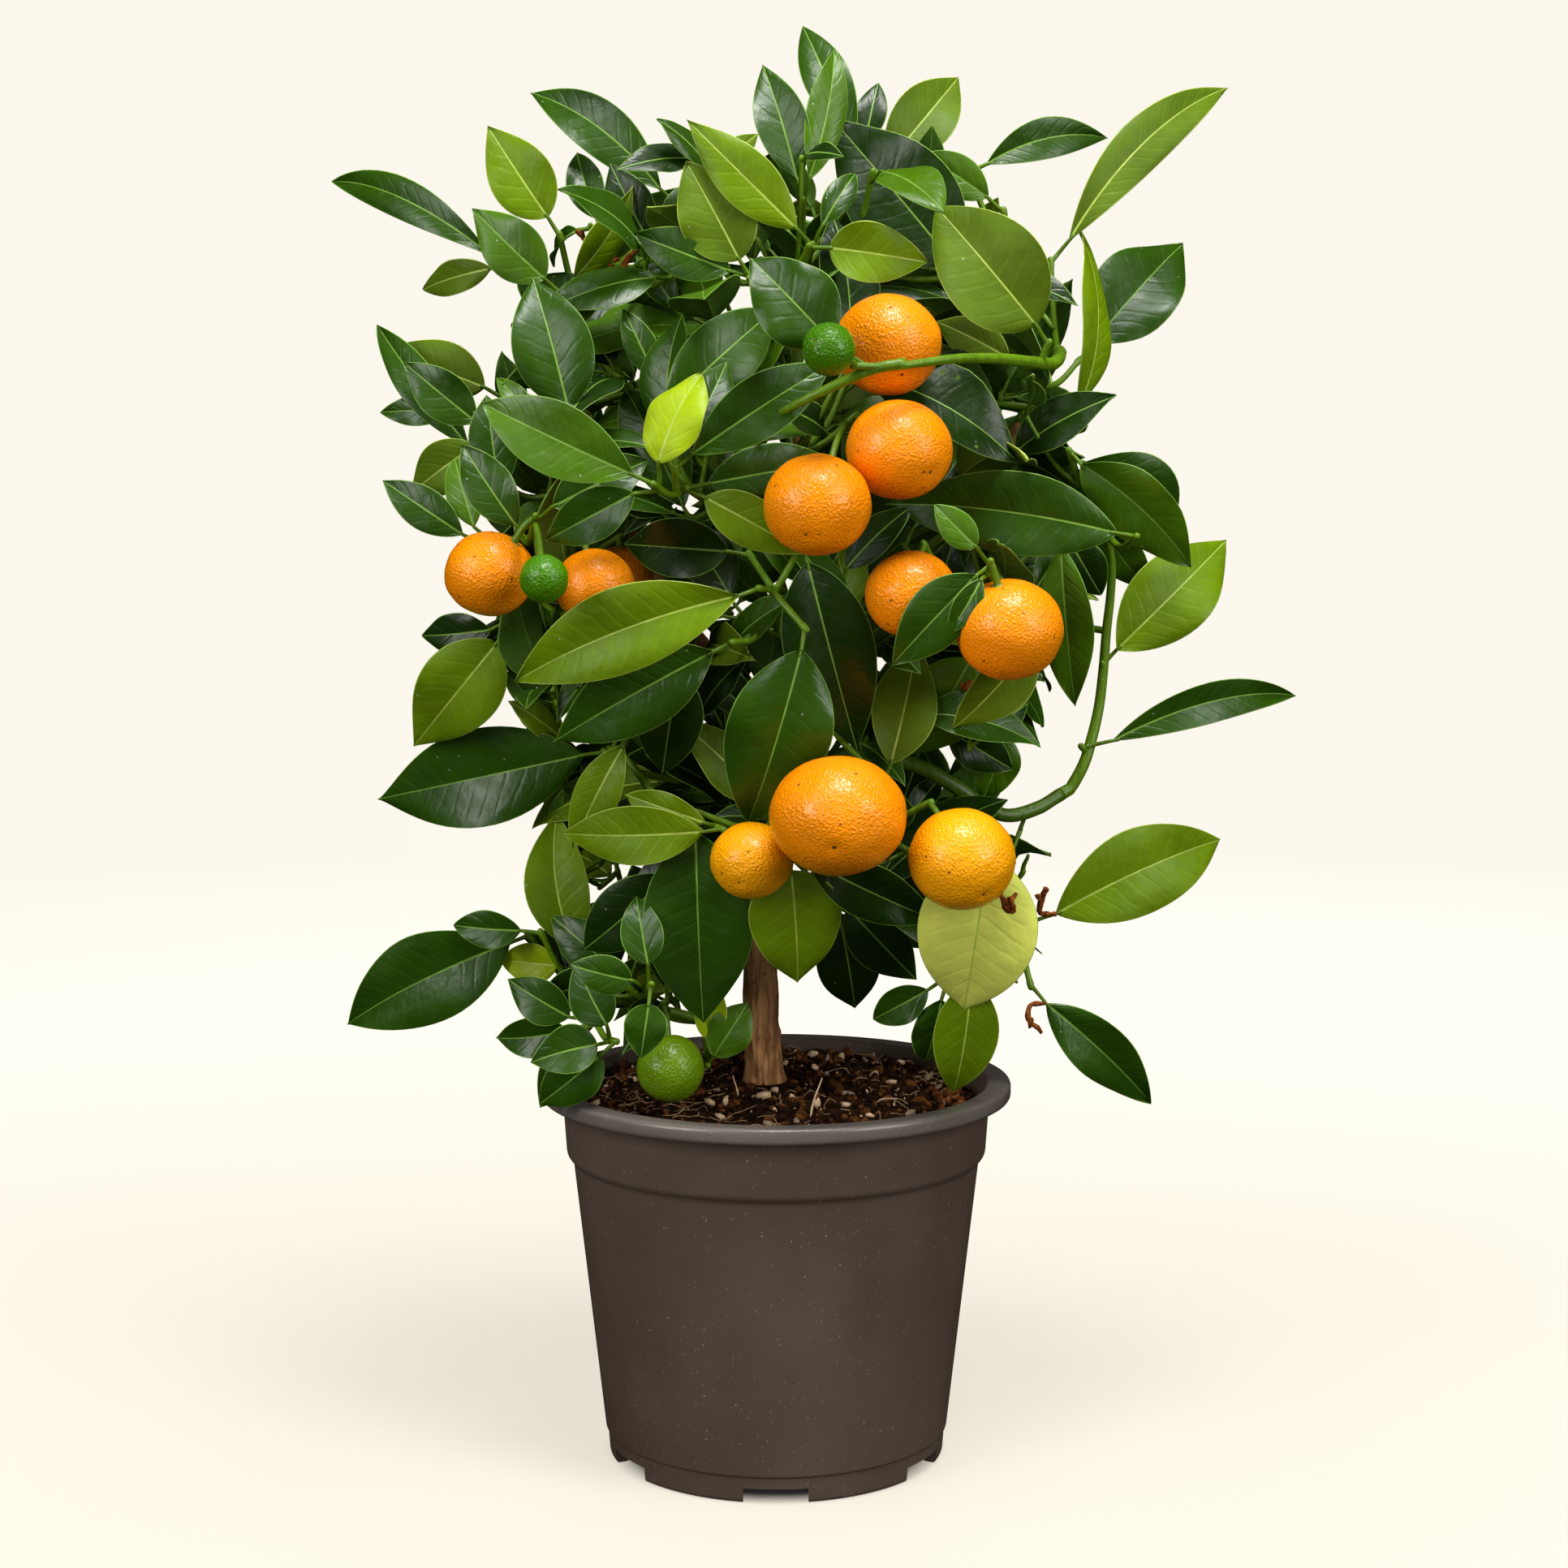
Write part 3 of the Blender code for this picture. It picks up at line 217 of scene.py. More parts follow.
# Boughs: what each grows from, the height on it where it leaves, its way to its tip, its two radii
BOUGHS = {
    "bough_top_centre": ("trunk", None, ((8, 6, 262), (9, 8, 300), (7, 8, 342)), 4.2, 2.3),
    "bough_top_left": ("trunk", 226, ((-20, 9, 254), (-44, 10, 290), (-60, 9, 332)), 3.2, 1.9),
    "bough_top_right": ("trunk", 232, ((30, 9, 262), (58, 9, 296), (78, 8, 330)), 3.2, 1.9),
    "bough_left": ("trunk", 206, ((-30, 2, 226), (-58, -4, 256), (-74, -8, 280)), 2.7, 1.7),
    "bough_centre": ("bough_top_centre", 282, ((0, -12, 290), (-12, -32, 298)), 2.3, 1.6),
    "bough_middle": ("bough_top_centre", 254, ((4, -14, 258), (2, -32, 264)), 2.3, 1.6),
    "bough_arch": ("trunk", 216, ((24, -8, 226), (46, -18, 222), (72, -14, 207), (90, -6, 213)), 2.6, 2.1),
    "bough_inner_right": ("bough_top_centre", 264, ((28, -6, 272), (52, -22, 276)), 2.4, 1.6),
    "bough_low_left": ("trunk", 190, ((-24, 0, 202), (-44, -8, 216)), 2.4, 1.6),
    "bough_low_centre": ("trunk", 198, ((4, -14, 200), (8, -26, 203)), 2.4, 1.7),
    "bough_low_right": ("trunk", 170, ((22, 0, 180), (52, -8, 188)), 2.4, 1.6),
    "bough_back_top": ("bough_top_centre", 292, ((6, 26, 312), (4, 42, 338)), 2.4, 1.6),
    "bough_back_left": ("trunk", 218, ((-16, 24, 240), (-42, 42, 272)), 2.6, 1.7),
    "bough_back_right": ("bough_top_centre", 252, ((26, 24, 262), (50, 42, 282)), 2.6, 1.7),
    "bough_back_low": ("trunk", 180, ((0, 24, 192), (4, 42, 206)), 2.4, 1.6),
}
WOODY_LIMBS = ("trunk", "bough_top_centre", "bough_top_left", "bough_top_right")

FOLIAGE = {
    "foliage_top_left": foliage(
        "bough_top_left", ((-62, 7, 345), (-60, 3, 362)), 5, (-56, 6, 362), (44, 34, 38),
        spray(-67, -5, 387, leaf("bright", 125, 32, 20, 8)),
        spray(-54, 5, 387, leaf("dark", 110, 24, 12)),
        spray(-66, -16, 368, leaf("mid", 138, 30, 18, 10), leaf("bright", 44, 32, 13, 5, 40)),
        spray(-84, 10, 379, leaf("dark", 156, 67, 13, 0, 0, 6, -5), leaf("olive", -170, 28, 11, -10)),
        spray(-60, -46, 326, leaf("dark", 103, 39, 24, 5)),
        spray(-31, 5, 398, leaf("dark", 144, 52, 17, 4, 0, 6, -4), leaf("olive", 41, 24, 9, -5, 0, 12)),
        spray(-37, -2, 380, leaf("deep", 118, 24, 15, 12), leaf("dark", 60, 26, 13, -8)),
    ),
    "foliage_top_centre": foliage(
        "bough_top_centre", ((7, 6, 356), (9, -2, 374)), 6, (12, 4, 392), (50, 36, 32),
        spray(8, -18, 396, leaf("dark", 104, 37, 16, 4, 0, 5), leaf("mid", 70, 40, 13, 10, 20)),
        spray(11, -32, 381, leaf("bright", 137, 44, 17, 14), leaf("dark", 61, 20, 9, 5)),
        spray(-8, -34, 371, leaf("olive", 118, 32, 23, 12), leaf("dark", 160, 30, 15, 10)),
        spray(10, -38, 380, leaf("bright", -8, 28, 18, 15)),
        spray(27, 10, 411, leaf("dark", 113, 45, 15), leaf("deep", 80, 20, 10)),
        spray(58, -12, 373, leaf("deep", 130, 56, 34, 5)),
        spray(31, 14, 406, leaf("olive", 50, 40, 20), leaf("mid", 48, 22, 10, -15, 0, 14)),
    ),
    "foliage_top_right": foliage(
        "bough_top_right",
        ((82, 4, 340), (87, -8, 350), (84, -24, 346), (68, -46, 346), (52, -64, 345), (34, -76, 342)),
        5, (66, 8, 372), (40, 34, 34),
        spray(22, -80, 342, fruit("green", 15, -90, 346, 15, 1.0), leaf("dark", 133, 32, 24, 6, 0, 9)),
        spray(82, -34, 352, leaf("olive", 131, 45, 31, 15)),
        spray(85, -5, 379, leaf("olive", 46, 75, 16, 3, 0, 8, 5)),
        spray(97, 18, 350, leaf("dark", 51, 51, 28, -6, -15)),
        spray(91, -12, 328, leaf("bright", 66, 54, 18, 6, 50)),
        spray(60, 8, 408, leaf("dark", 17, 41, 13, 0, 0, 6, 3)),
        spray(70, -8, 394, leaf("mid", 145, 23, 13, 12)),
        spray(76, -22, 345, leaf("olive", 151, 24, 13, 8)),
    ),
    "foliage_right": foliage(
        "bough_arch", ((97, -4, 222), (102, -1, 240), (104, -2, 264), (105, -5, 286), (99, -12, 304)),
        5, (86, 8, 306), (34, 34, 36),
        spray(96, -5, 228, leaf("dark", 10, 66, 13, 4, 0, 10, 6)),
        spray(103, -2, 254, leaf("bright", 45, 51, 26, 6)),
        spray(89, -26, 320, leaf("mid", -50, 43, 22, 14, 30, 6, 4), leaf("dark", -38, 42, 22, -5, 0, 6, 5)),
        spray(108, -42, 294, leaf("dark", 172, 67, 25, 4, 0, 6, -2)),
        spray(98, -14, 305, leaf("mid", -62, 28, 15, 5, 25)),
    ),
    "foliage_inner_right": foliage(
        "bough_inner_right", ((60, -30, 279), (66, -40, 284)), 4, (58, -22, 262), (34, 30, 40),
        spray(62, -72, 287, fruit("ripe", 68, -66, 267, 31.5), leaf("dark", -135, 34, 18, 8),
              leaf("mid", 137, 16, 10, 10), leaf("dark", -118, 18, 8, 16)),
        spray(44, -46, 292, fruit("ripe", 40, -60, 277, 27.5)),
        spray(86, -30, 298, leaf("deep", -60, 21, 14), leaf("mid", -87, 50, 17, 5, 15)),
        spray(80, -48, 268, leaf("olive", -124, 34, 18, 6, -20)),
        spray(62, -34, 262, leaf("mid", -118, 36, 24, -5)),
        spray(73, -12, 238, leaf("mid", -104, 22, 15)),
        spray(48, -18, 238, leaf("deep", -34, 24, 14)),
    ),
    "foliage_left_upper": foliage(
        "bough_back_left", ((-56, 30, 288), (-72, 14, 304), (-82, 0, 316)), 5, (-74, 8, 318), (36, 34, 34),
        spray(-91, -12, 317, leaf("dark", 130, 50, 13, 6)),
        spray(-86, 4, 338, leaf("olive", 157, 36, 19, 5, 10)),
        spray(-87, -14, 325, leaf("dark", 142, 28, 15, 8), leaf("olive", -147, 26, 16, 6)),
        spray(-96, 6, 333, leaf("dark", 178, 24, 10, 0)),
        spray(-84, -22, 302, leaf("dark", 96, 28, 15, 8)),
    ),
    "foliage_left": foliage(
        "bough_left", ((-78, -12, 289), (-78, -22, 294)), 4, (-72, 0, 262), (34, 34, 36),
        spray(-70, -60, 300, fruit("ripe", -84, -56, 283, 26.5),
              fruit("green", -66, -79, 282, 14, 1.0), leaf("dark", 27, 30, 16, 8)),
        spray(-58, -34, 296, fruit("ripe", -54, -44, 279, 24)),
        spray(-48, -8, 294, fruit("ripe", -48, -16, 281, 21)),
        spray(-90, -25, 291, leaf("dark", 146, 29, 13, 5), leaf("mid", 107, 24, 11)),
        spray(-74, -40, 292, leaf("dark", 125, 28, 15, 10)),
        spray(-82, -20, 266, leaf("bright", -129, 43, 26, 8), leaf("deep", -172, 23, 13)),
    ),
    "foliage_centre": foliage(
        "bough_centre", ((-20, -42, 304), (-26, -54, 308)), 5, (-16, -34, 326), (44, 26, 36),
        spray(30, -40, 360, fruit("ripe", 33, -50, 350, 31.5)),
        spray(24, -46, 330, fruit("ripe", 36, -61, 319, 31), fruit("ripe", 12, -76, 303, 31)),
        spray(-35, -74, 309, leaf("mid", 156, 46, 21, 8), leaf("lime", 75, 28, 18, 12, -20),
              leaf("dark", -153, 31, 15, -6)),
        spray(-29, -68, 314, leaf("dark", 35, 46, 18, 8), leaf("dark", 62, 32, 15, -5)),
        spray(-37, -60, 327, leaf("dark", 43, 46, 21, 4)),
        spray(-26, -72, 308, leaf("dark", 11, 39, 17, 5), leaf("bright", -27, 32, 15, 18)),
    ),
    "foliage_middle": foliage(
        "bough_middle", ((0, -42, 270), (2, -52, 278)), 3, (4, -30, 250), (36, 22, 34),
        spray(-5, -68, 279, leaf("bright", -159, 69, 25, 10, 0, 6, -3)),
        spray(-13, -60, 263, leaf("dark", -153, 54, 24, 4)),
        spray(-8, -46, 289, leaf("deep", 176, 34, 18, 2)),
        spray(8, -60, 292, leaf("deep", -76, 57, 27, 6)),
        spray(9, -74, 267, leaf("dark", -104, 55, 31, 8)),
        spray(-28, -44, 260, leaf("deep", -100, 33, 20)),
        spray(33, -36, 220, leaf("olive", 75, 38, 20, -4)),
    ),
    "foliage_low_left": foliage(
        "bough_low_left", ((-50, -10, 222), (-52, -14, 228)), 4, (-46, 4, 212), (36, 32, 34),
        spray(-54, -10, 227, leaf("dark", -168, 71, 31, 5)),
        spray(-43, -34, 236, leaf("bright", -121, 35, 15, 8, 15)),
        spray(-15, -54, 207, leaf("bright", -176, 43, 18, 8), leaf("bright", 161, 26, 10, -4)),
        spray(-28, -42, 196, leaf("deep", -136, 35, 20, 5)),
    ),
    "foliage_low_centre": foliage(
        "bough_low_centre", ((10, -36, 205), (14, -44, 206)), 3, (14, -10, 200), (34, 30, 30),
        spray(20, -56, 226, fruit("ripe", 18, -80, 214, 39.7, 0.87)),
        spray(-2, -48, 208, fruit("yellow", -7, -63, 199, 24.8, 0.91)),
        spray(46, -60, 216, fruit("yellow", 54, -76, 201, 31, 0.96)),
        spray(40, -52, 200, leaf("deep", -161, 30, 12, 8)),
        spray(4, -51, 201, leaf("deep", -28, 42, 17, 8), leaf("bright", -84, 35, 28, 8)),
        spray(-24, -56, 212, leaf("dark", -89, 57, 33, 8)),
        spray(18, -24, 184, leaf("deep", -78, 36, 20), leaf("deep", -48, 32, 18)),
    ),
    "foliage_low_right": foliage(
        "bough_low_right", ((62, -11, 190), (72, -14, 186)), 4, (56, 8, 184), (34, 34, 32),
        spray(82, -6, 172, leaf("bright", 24, 59, 28, 6, 0, 7, 2)),
        spray(80, -16, 153, leaf("dark", -47, 50, 18, 4, 0, 7, 2)),
        spray(64, -56, 206, leaf("pale", -98, 50, 36, 6)),
        spray(60, -46, 166, leaf("bright", -94, 40, 20, 4)),
        spray(52, -32, 158, leaf("dark", -150, 20, 12), leaf("dark", -100, 24, 14)),
    ),
    "foliage_basal": foliage(
        "trunk", ((-16, -4, 138), (-36, -16, 146), (-54, -20, 150)), 3, (-44, -4, 158), (34, 30, 18),
        spray(-34, -36, 152, fruit("lime", -32, -44, 133, 20.5, 1.0)),
        spray(-78, -15, 170, leaf("dark", -150, 61, 29, 4, 0, 6, -3)),
        spray(-73, -24, 172, leaf("dark", 178, 21, 12, 4)),
        spray(-62, -22, 160, leaf("bright", 97, 40, 20, 8, 10, 6, 3), leaf("lime", 176, 20, 13)),
        spray(-58, -34, 144, leaf("dark", -168, 24, 13, 6), leaf("dark", 150, 22, 14, 8),
              leaf("dark", -120, 22, 14, 30)),
        spray(-48, -48, 142, leaf("dark", -140, 24, 16, 8), leaf("dark", -175, 20, 15, 20, 20),
              leaf("dark", 120, 20, 14, 5)),
        spray(-46, -32, 158, leaf("dark", 140, 24, 15, 6), leaf("dark", 60, 22, 14, 8),
              leaf("deep", -170, 20, 14, 14)),
        spray(-37, -50, 161, leaf("dark", -98, 16, 13, 15), leaf("dark", 100, 20, 13, 5),
              leaf("dark", 168, 18, 12, 10)),
        spray(-21, -38, 132, leaf("mid", 58, 18, 14, 12, 0, 4), leaf("lime", 86, 18, 10, 8, 0, 8)),
    ),
    "foliage_back_top": foliage(
        "bough_back_top", ((4, 48, 352), (2, 50, 368)), 10, (4, 58, 364), (66, 32, 46),
    ),
    "foliage_back_left": foliage(
        "bough_back_left", ((-50, 50, 280), (-52, 54, 294)), 10, (-46, 56, 296), (42, 34, 46),
    ),
    "foliage_back_right": foliage(
        "bough_back_right", ((56, 48, 292), (58, 54, 304)), 10, (54, 56, 300), (42, 34, 46),
    ),
    "foliage_back_low": foliage(
        "bough_back_low", ((4, 50, 214), (4, 56, 226)), 12, (4, 52, 214), (66, 34, 42),
    ),
}

# The masses that each joined piece of leaves stands for
LEAF_PIECES = {
    "leaves_top": ("foliage_top_left", "foliage_top_centre", "foliage_top_right"),
    "leaves_middle": (
        "foliage_left_upper", "foliage_left", "foliage_centre", "foliage_middle", "foliage_inner_right",
        "foliage_right",
    ),
    "leaves_low": ("foliage_low_left", "foliage_low_centre", "foliage_low_right", "foliage_basal"),
    "leaves_back": ("foliage_back_top", "foliage_back_left", "foliage_back_right", "foliage_back_low"),
}

# The ring scar low on the trunk
TRUNK_SCAR_Z = 134.5
# Stems that swell beyond what carries them: the arching shoot on the right
THICK_STEMS = {"foliage_top_right": 2.7}
# The fork of that shoot that trails on to the left, thicker where it leaves
TRAILING_SHOOT = ((37, -76, 343), (27, -77, 341), (11, -75, 334), (1, -68, 329), (-6, -56, 325))
TRAILING_RADII = (1.7, 1.0)
FRUIT_STALK_RADII = (0.95, 1.15)

# Dried stalk ends: where each stands, which way it points and how long it is
DRIED_STALKS = (
    ((81, -10, 176), (0.5, -0.2, 1.0), 9.0),
    ((69, -69, 181), (-0.1, -0.5, 1.0), 9.0),
    ((78, -15, 147), (0.5, -0.2, -0.9), 8.0),
    ((54, -30, 236), (0.3, -0.3, 1.0), 14.0),
    ((-55, -4, 380), (0.9, -0.4, -0.2), 6.0),
    ((-48, -6, 377), (0.5, -0.5, -0.8), 5.0),
)


# Colours
def hue(code):
    """The linear red, green and blue of a colour written as on the web."""
    parts = [int(code[index:index + 2], 16) / 255 for index in (1, 3, 5)]
    return tuple(part / 12.92 if part <= 0.04045 else ((part + 0.055) / 1.055) ** 2.4 for part in parts)


def lighter(colour, share):
    """The colour moved towards white."""
    return tuple(part + (1 - part) * share for part in colour)


def darker(colour, share):
    """The colour moved towards black."""
    return tuple(part * (1 - share) for part in colour)


def brighter(colour, share=0.5):
    """A colour of the same hue with more light in it."""
    return tuple(min(1.0, part * (1 + share)) for part in colour)


def colour_property(name, description, code):
    return bpy.props.FloatVectorProperty(
        name=name, description=description, subtype="COLOR", size=3, min=0.0, max=1.0, default=hue(code)
    )


def length_property(name, description, millimetres):
    return bpy.props.FloatProperty(
        name=name, description=description, default=millimetres * MM, min=0.0, unit="LENGTH", precision=4
    )


class CalamondinLeafSettings(bpy.types.PropertyGroup):
    """Sizes and colours of the leaves."""

    thickness: length_property("Thickness", "Thickness of a blade beside its midrib", 0.32)
    fine_sprays: bpy.props.IntProperty(
        name="Fine sprays", description="Finer sprays that each mass of foliage gets",
        default=14, min=0, max=60,
    )
    deep: colour_property("Deep", "Oldest leaves, deep in the crown", "#1a3303")
    dark: colour_property("Dark", "Full-grown leaves", "#2b4d05")
    mid: colour_property("Middle", "Leaves of this year", "#456b05")
    bright: colour_property("Bright", "Young leaves that face the light", "#648203")
    lime: colour_property("Lime", "The youngest leaves", "#93ac0a")
    pale: colour_property("Pale", "Leaves that have faded", "#d6df62")
    olive: colour_property("Olive", "Leaves that show their underside", "#56700a")
    # These midrib colours also paint a thin edge highlight along the margins
    rib: colour_property("Midrib", "Midribs and margins of dark leaves", "#76a03c")
    young_rib: colour_property("Young midrib", "Midribs and margins of bright leaves", "#a9bf50")
    under: colour_property("Underside", "Undersides of dark leaves", "#4a6f1e")
    young_under: colour_property("Young underside", "Undersides of bright leaves", "#7c9a26")


class CalamondinFruitSettings(bpy.types.PropertyGroup):
    """Colours of the fruit."""

    ripe: colour_property("Ripe", "Peel of ripe fruit", "#fa9000")
    yellow: colour_property("Yellow", "Peel of the lower ripe fruit", "#fba600")
    green: colour_property("Green", "Peel of unripe fruit", "#447c02")
    lime: colour_property("Lime", "Peel of the low unripe fruit", "#648604")
    blemish: colour_property("Blemish", "Scars and specks on the peel", "#7a4a14")
    cap: colour_property("Cap", "Green caps where the stalks meet the fruit", "#5f7d33")


class CalamondinWoodSettings(bpy.types.PropertyGroup):
    """Sizes and colours of trunk, boughs and twigs."""

    relief: length_property("Bark relief", "Height of the trunk's bark ridges", 0.32)
    bark: colour_property("Bark", "Ridges of the old bark", "#d8a06c")
    furrow: colour_property("Furrow", "Furrows of the old bark", "#74482a")
    shoot: colour_property("Shoot", "Young green shoots", "#608608")
    old_shoot: colour_property("Old shoot", "Green wood of the second year", "#48660e")
    dried: colour_property("Dried stalk", "Stalk ends that have dried", "#8a4c20")


class CalamondinPotSettings(bpy.types.PropertyGroup):
    """Sizes and colours of the pot."""

    sides: bpy.props.IntProperty(
        name="Sides", description="Steps round the pot", default=180, min=24, max=400
    )
    plastic: colour_property("Plastic", "Body of the pot", "#594a3e")
    # The lip is lighter and greyer than the body as a painted sheen; its coat is real gloss
    lip: colour_property("Lip", "Polished lip", "#665e59")
    speck: colour_property("Speck", "Pale specks in the plastic", "#b9aa9c")


class CalamondinSoilSettings(bpy.types.PropertyGroup):
    """Sizes and colours of the soil."""

    crumbs: bpy.props.IntProperty(
        name="Crumbs", description="Loose crumbs on the soil", default=2400, min=0, max=4000
    )
    chips: bpy.props.IntProperty(
        name="Chips", description="Pale chips on the soil", default=250, min=0, max=1000
    )
    roots: bpy.props.IntProperty(
        name="Roots", description="Fine dry roots on the soil", default=110, min=0, max=400
    )
    peat: colour_property("Peat", "Moist peat", "#2a180a")
    crumb: colour_property("Crumb", "Drier crumbs", "#5e3819")
    chip: colour_property("Chip", "Bark and wood chips", "#e6c196")
    root: colour_property("Root", "Fine dry roots", "#a67e50")
    rust: colour_property("Rust", "Reddish clods by the wall", "#74401e")


class CalamondinStageSettings(bpy.types.PropertyGroup):
    """Floor, light and camera."""

    backdrop: colour_property("Backdrop", "Floor and backdrop", "#fdf8ee")
    lens: bpy.props.FloatProperty(
        name="Lens", description="Focal length of the camera in millimetres", default=61.06, min=10.0
    )
    tilt: bpy.props.FloatProperty(
        name="Tilt", description="How far the camera looks down", default=math.radians(5.5), subtype="ANGLE"
    )
    strength: bpy.props.FloatProperty(
        name="Light", description="Strength of all lamps together", default=1.0, min=0.0
    )


# Finishes. Near the pot the backdrop's emission dims to a painted shade, a little warmer than its paper.
SHADE_WARMTH = (1.03, 1.0, 0.95)


class Wire:
    """An output socket of a finish. Arithmetic on it adds Math nodes."""

    def __init__(self, finish, socket):
        self.finish = finish
        self.socket = socket

    def maths(self, operation, *terms):
        return self.finish.node("ShaderNodeMath", {"operation": operation}, dict(enumerate(terms)))

    def __add__(self, other):
        return self.maths("ADD", self, other)

    def __radd__(self, other):
        return self.maths("ADD", other, self)

    def __sub__(self, other):
        return self.maths("SUBTRACT", self, other)

    def __rsub__(self, other):
        return self.maths("SUBTRACT", other, self)

    def __mul__(self, other):
        return self.maths("MULTIPLY", self, other)

    def __rmul__(self, other):
        return self.maths("MULTIPLY", other, self)

    def __abs__(self):
        return self.maths("ABSOLUTE", self)

    def fraction(self):
        return self.maths("FRACT", self)

    def part(self, index):
        """One of the three numbers of a vector or colour."""
        return self.finish.node("ShaderNodeSeparateXYZ", None, {0: self}, index)

    def ramp(self, low, high, bottom=0.0, top=1.0):
        """A smooth step from bottom to top as the value goes from low to high."""
        return self.finish.node(
            "ShaderNodeMapRange", {"interpolation_type": "SMOOTHSTEP"},
            {"Value": self, "From Min": low, "From Max": high, "To Min": bottom, "To Max": top},
        )


class Finish:
    """A material with its Principled shader, and the one method that adds any node to it."""

    def __init__(self, name, roughness, coat=0.0, coat_roughness=0.1, shine=0.35):
        self.material = bpy.data.materials.new(name)
        self.material.use_nodes = True
        self.tree = self.material.node_tree
        self.shader = self.tree.nodes["Principled BSDF"]
        self.shader.inputs["Roughness"].default_value = roughness
        self.shader.inputs["Coat Weight"].default_value = coat
        self.shader.inputs["Coat Roughness"].default_value = coat_roughness
        self.shader.inputs["Specular IOR Level"].default_value = shine

    def node(self, kind, settings=None, sockets=None, output=0):
        """Adds a node: its settings first, then its sockets' values or wires. Gives one of its outputs."""
        node = self.tree.nodes.new(kind)
        for name, value in (settings or {}).items():
            setattr(node, name, value)
        for name, value in (sockets or {}).items():
            self.feed(node.inputs[name], value)
        return Wire(self, node.outputs[output])

    def feed(self, socket, value):
        if isinstance(value, Wire):
            self.tree.links.new(value.socket, socket)
        elif socket.type == "RGBA" and len(value) == 3:
            socket.default_value = (*value, 1.0)
        else:
            socket.default_value = value

    def places(self):
        """The surface's places in metres."""
        return self.node("ShaderNodeTexCoord", None, None, "Object")

    def stretched(self, x, y, z):
        """The surface's places, each direction scaled by itself."""
        sockets = {0: self.places(), 1: (x, y, z)}
        return self.node("ShaderNodeVectorMath", {"operation": "MULTIPLY"}, sockets)

    def noise(self, scale, detail=2.0, places=None):
        sockets = {"Vector": places or self.places(), "Scale": scale, "Detail": detail}
        return self.node("ShaderNodeTexNoise", None, sockets)

    def cells(self, scale, output="Distance", feature="F1"):
        sockets = {"Vector": self.places(), "Scale": scale}
        return self.node("ShaderNodeTexVoronoi", {"feature": feature}, sockets, output)

    def specks(self, scale, size, share):
        """Small round spots in a share of the cells of a scatter."""
        chosen = self.cells(scale, "Color").part(0).ramp(share, share + 0.02, 1.0, 0.0)
        return self.cells(scale).ramp(size * 0.6, size, 1.0, 0.0) * chosen

    def mix(self, factor, first, second):
        """A colour between two."""
        settings = {"data_type": "RGBA", "clamp_factor": True}
        return self.node("ShaderNodeMix", settings, {0: factor, 6: first, 7: second}, 2)

    def colour(self, value):
        self.feed(self.shader.inputs["Base Color"], value)

    def roughness(self, value):
        self.feed(self.shader.inputs["Roughness"], value)

    def relief(self, height, millimetres, strength=1.0):
        """Feeds a Bump node of this height to the shader's Normal."""
        sockets = {"Height": height, "Distance": millimetres * MM, "Strength": strength}
        self.feed(self.shader.inputs["Normal"], self.node("ShaderNodeBump", None, sockets))


def veins(finish):
    """Lines of a leaf's side veins, which leave the midrib and sweep to the tip."""
    places = finish.node("ShaderNodeUVMap", {"uv_map": LEAF_MAP})
    across = places.part(1)
    sway = finish.noise(90.0, 2.0)
    phase = (places.part(0) - across * 1.5 + sway * 0.8).fraction()
    line = abs(phase - 0.5).ramp(0.0, 0.2, 1.0, 0.0)
    return line * across.ramp(0.6, 1.0, 1.0, 0.0)


def leaf_finish(name, colour, roughness, vein_light, coat, shine):
    """The waxy upper face of a leaf."""
    finish = Finish(name, roughness, coat, coat_roughness=0.3, shine=shine)
    lines = veins(finish)
    cloud = finish.noise(55.0, 3.0).ramp(0.35, 0.68)
    tint = finish.mix(cloud, darker(colour, 0.2), colour)
    tint = finish.mix(lines * vein_light, tint, brighter(colour))
    tint = finish.mix(finish.specks(270.0, 0.1, 0.12) * 0.5, tint, lighter(colour, 0.45))
    finish.colour(tint)
    finish.roughness(finish.noise(160.0, 2.0).ramp(0.3, 0.7, roughness - 0.06, roughness + 0.1))
    pucker = finish.noise(130.0, 1.0) * 2.2
    finish.relief(finish.noise(420.0, 3.0) * 0.7 - lines * 0.3 + pucker, 0.24)
    return finish.material


def underside_finish(name, colour):
    """The paler, matt underside of a leaf, with its side veins raised."""
    finish = Finish(name, 0.6)
    lines = veins(finish)
    cloud = finish.noise(70.0, 3.0).ramp(0.35, 0.65)
    tint = finish.mix(cloud, darker(colour, 0.14), colour)
    finish.colour(finish.mix(lines * 0.2, tint, brighter(colour)))
    finish.relief(finish.noise(900.0, 2.0) * 0.6 + lines * 0.4, 0.15)
    return finish.material


def rib_finish(name, colour):
    """Midribs, and the thin pale edge of the margins, which is a painted edge highlight."""
    finish = Finish(name, 0.42)
    finish.colour(finish.mix(finish.noise(240.0).ramp(0.3, 0.7), darker(colour, 0.25), colour))
    return finish.material


def peel_finish(name, colour, blush, blemish):
    """Dimpled citrus peel with oil glands, specks and small scars."""
    finish = Finish(name, 0.3, coat=0.08, coat_roughness=0.12, shine=0.36)
    cloud = finish.noise(38.0, 3.0).ramp(0.35, 0.7)
    tint = finish.mix(cloud, colour, blush)
    glands = finish.cells(1250.0, feature="SMOOTH_F1").ramp(0.1, 0.55)
    tint = finish.mix(glands * 0.1, tint, darker(colour, 0.25))
    tint = finish.mix(finish.specks(330.0, 0.09, 0.1) * 0.5, tint, darker(blemish, 0.1))
    tint = finish.mix(finish.specks(190.0, 0.12, 0.5) * 0.8, tint, darker(blemish, 0.3))
    finish.colour(tint)
    finish.roughness(finish.noise(120.0).ramp(0.3, 0.7, 0.23, 0.36))
    finish.relief(glands * -0.8 + finish.noise(300.0, 2.0) * 0.8, 0.22)
    return finish.material


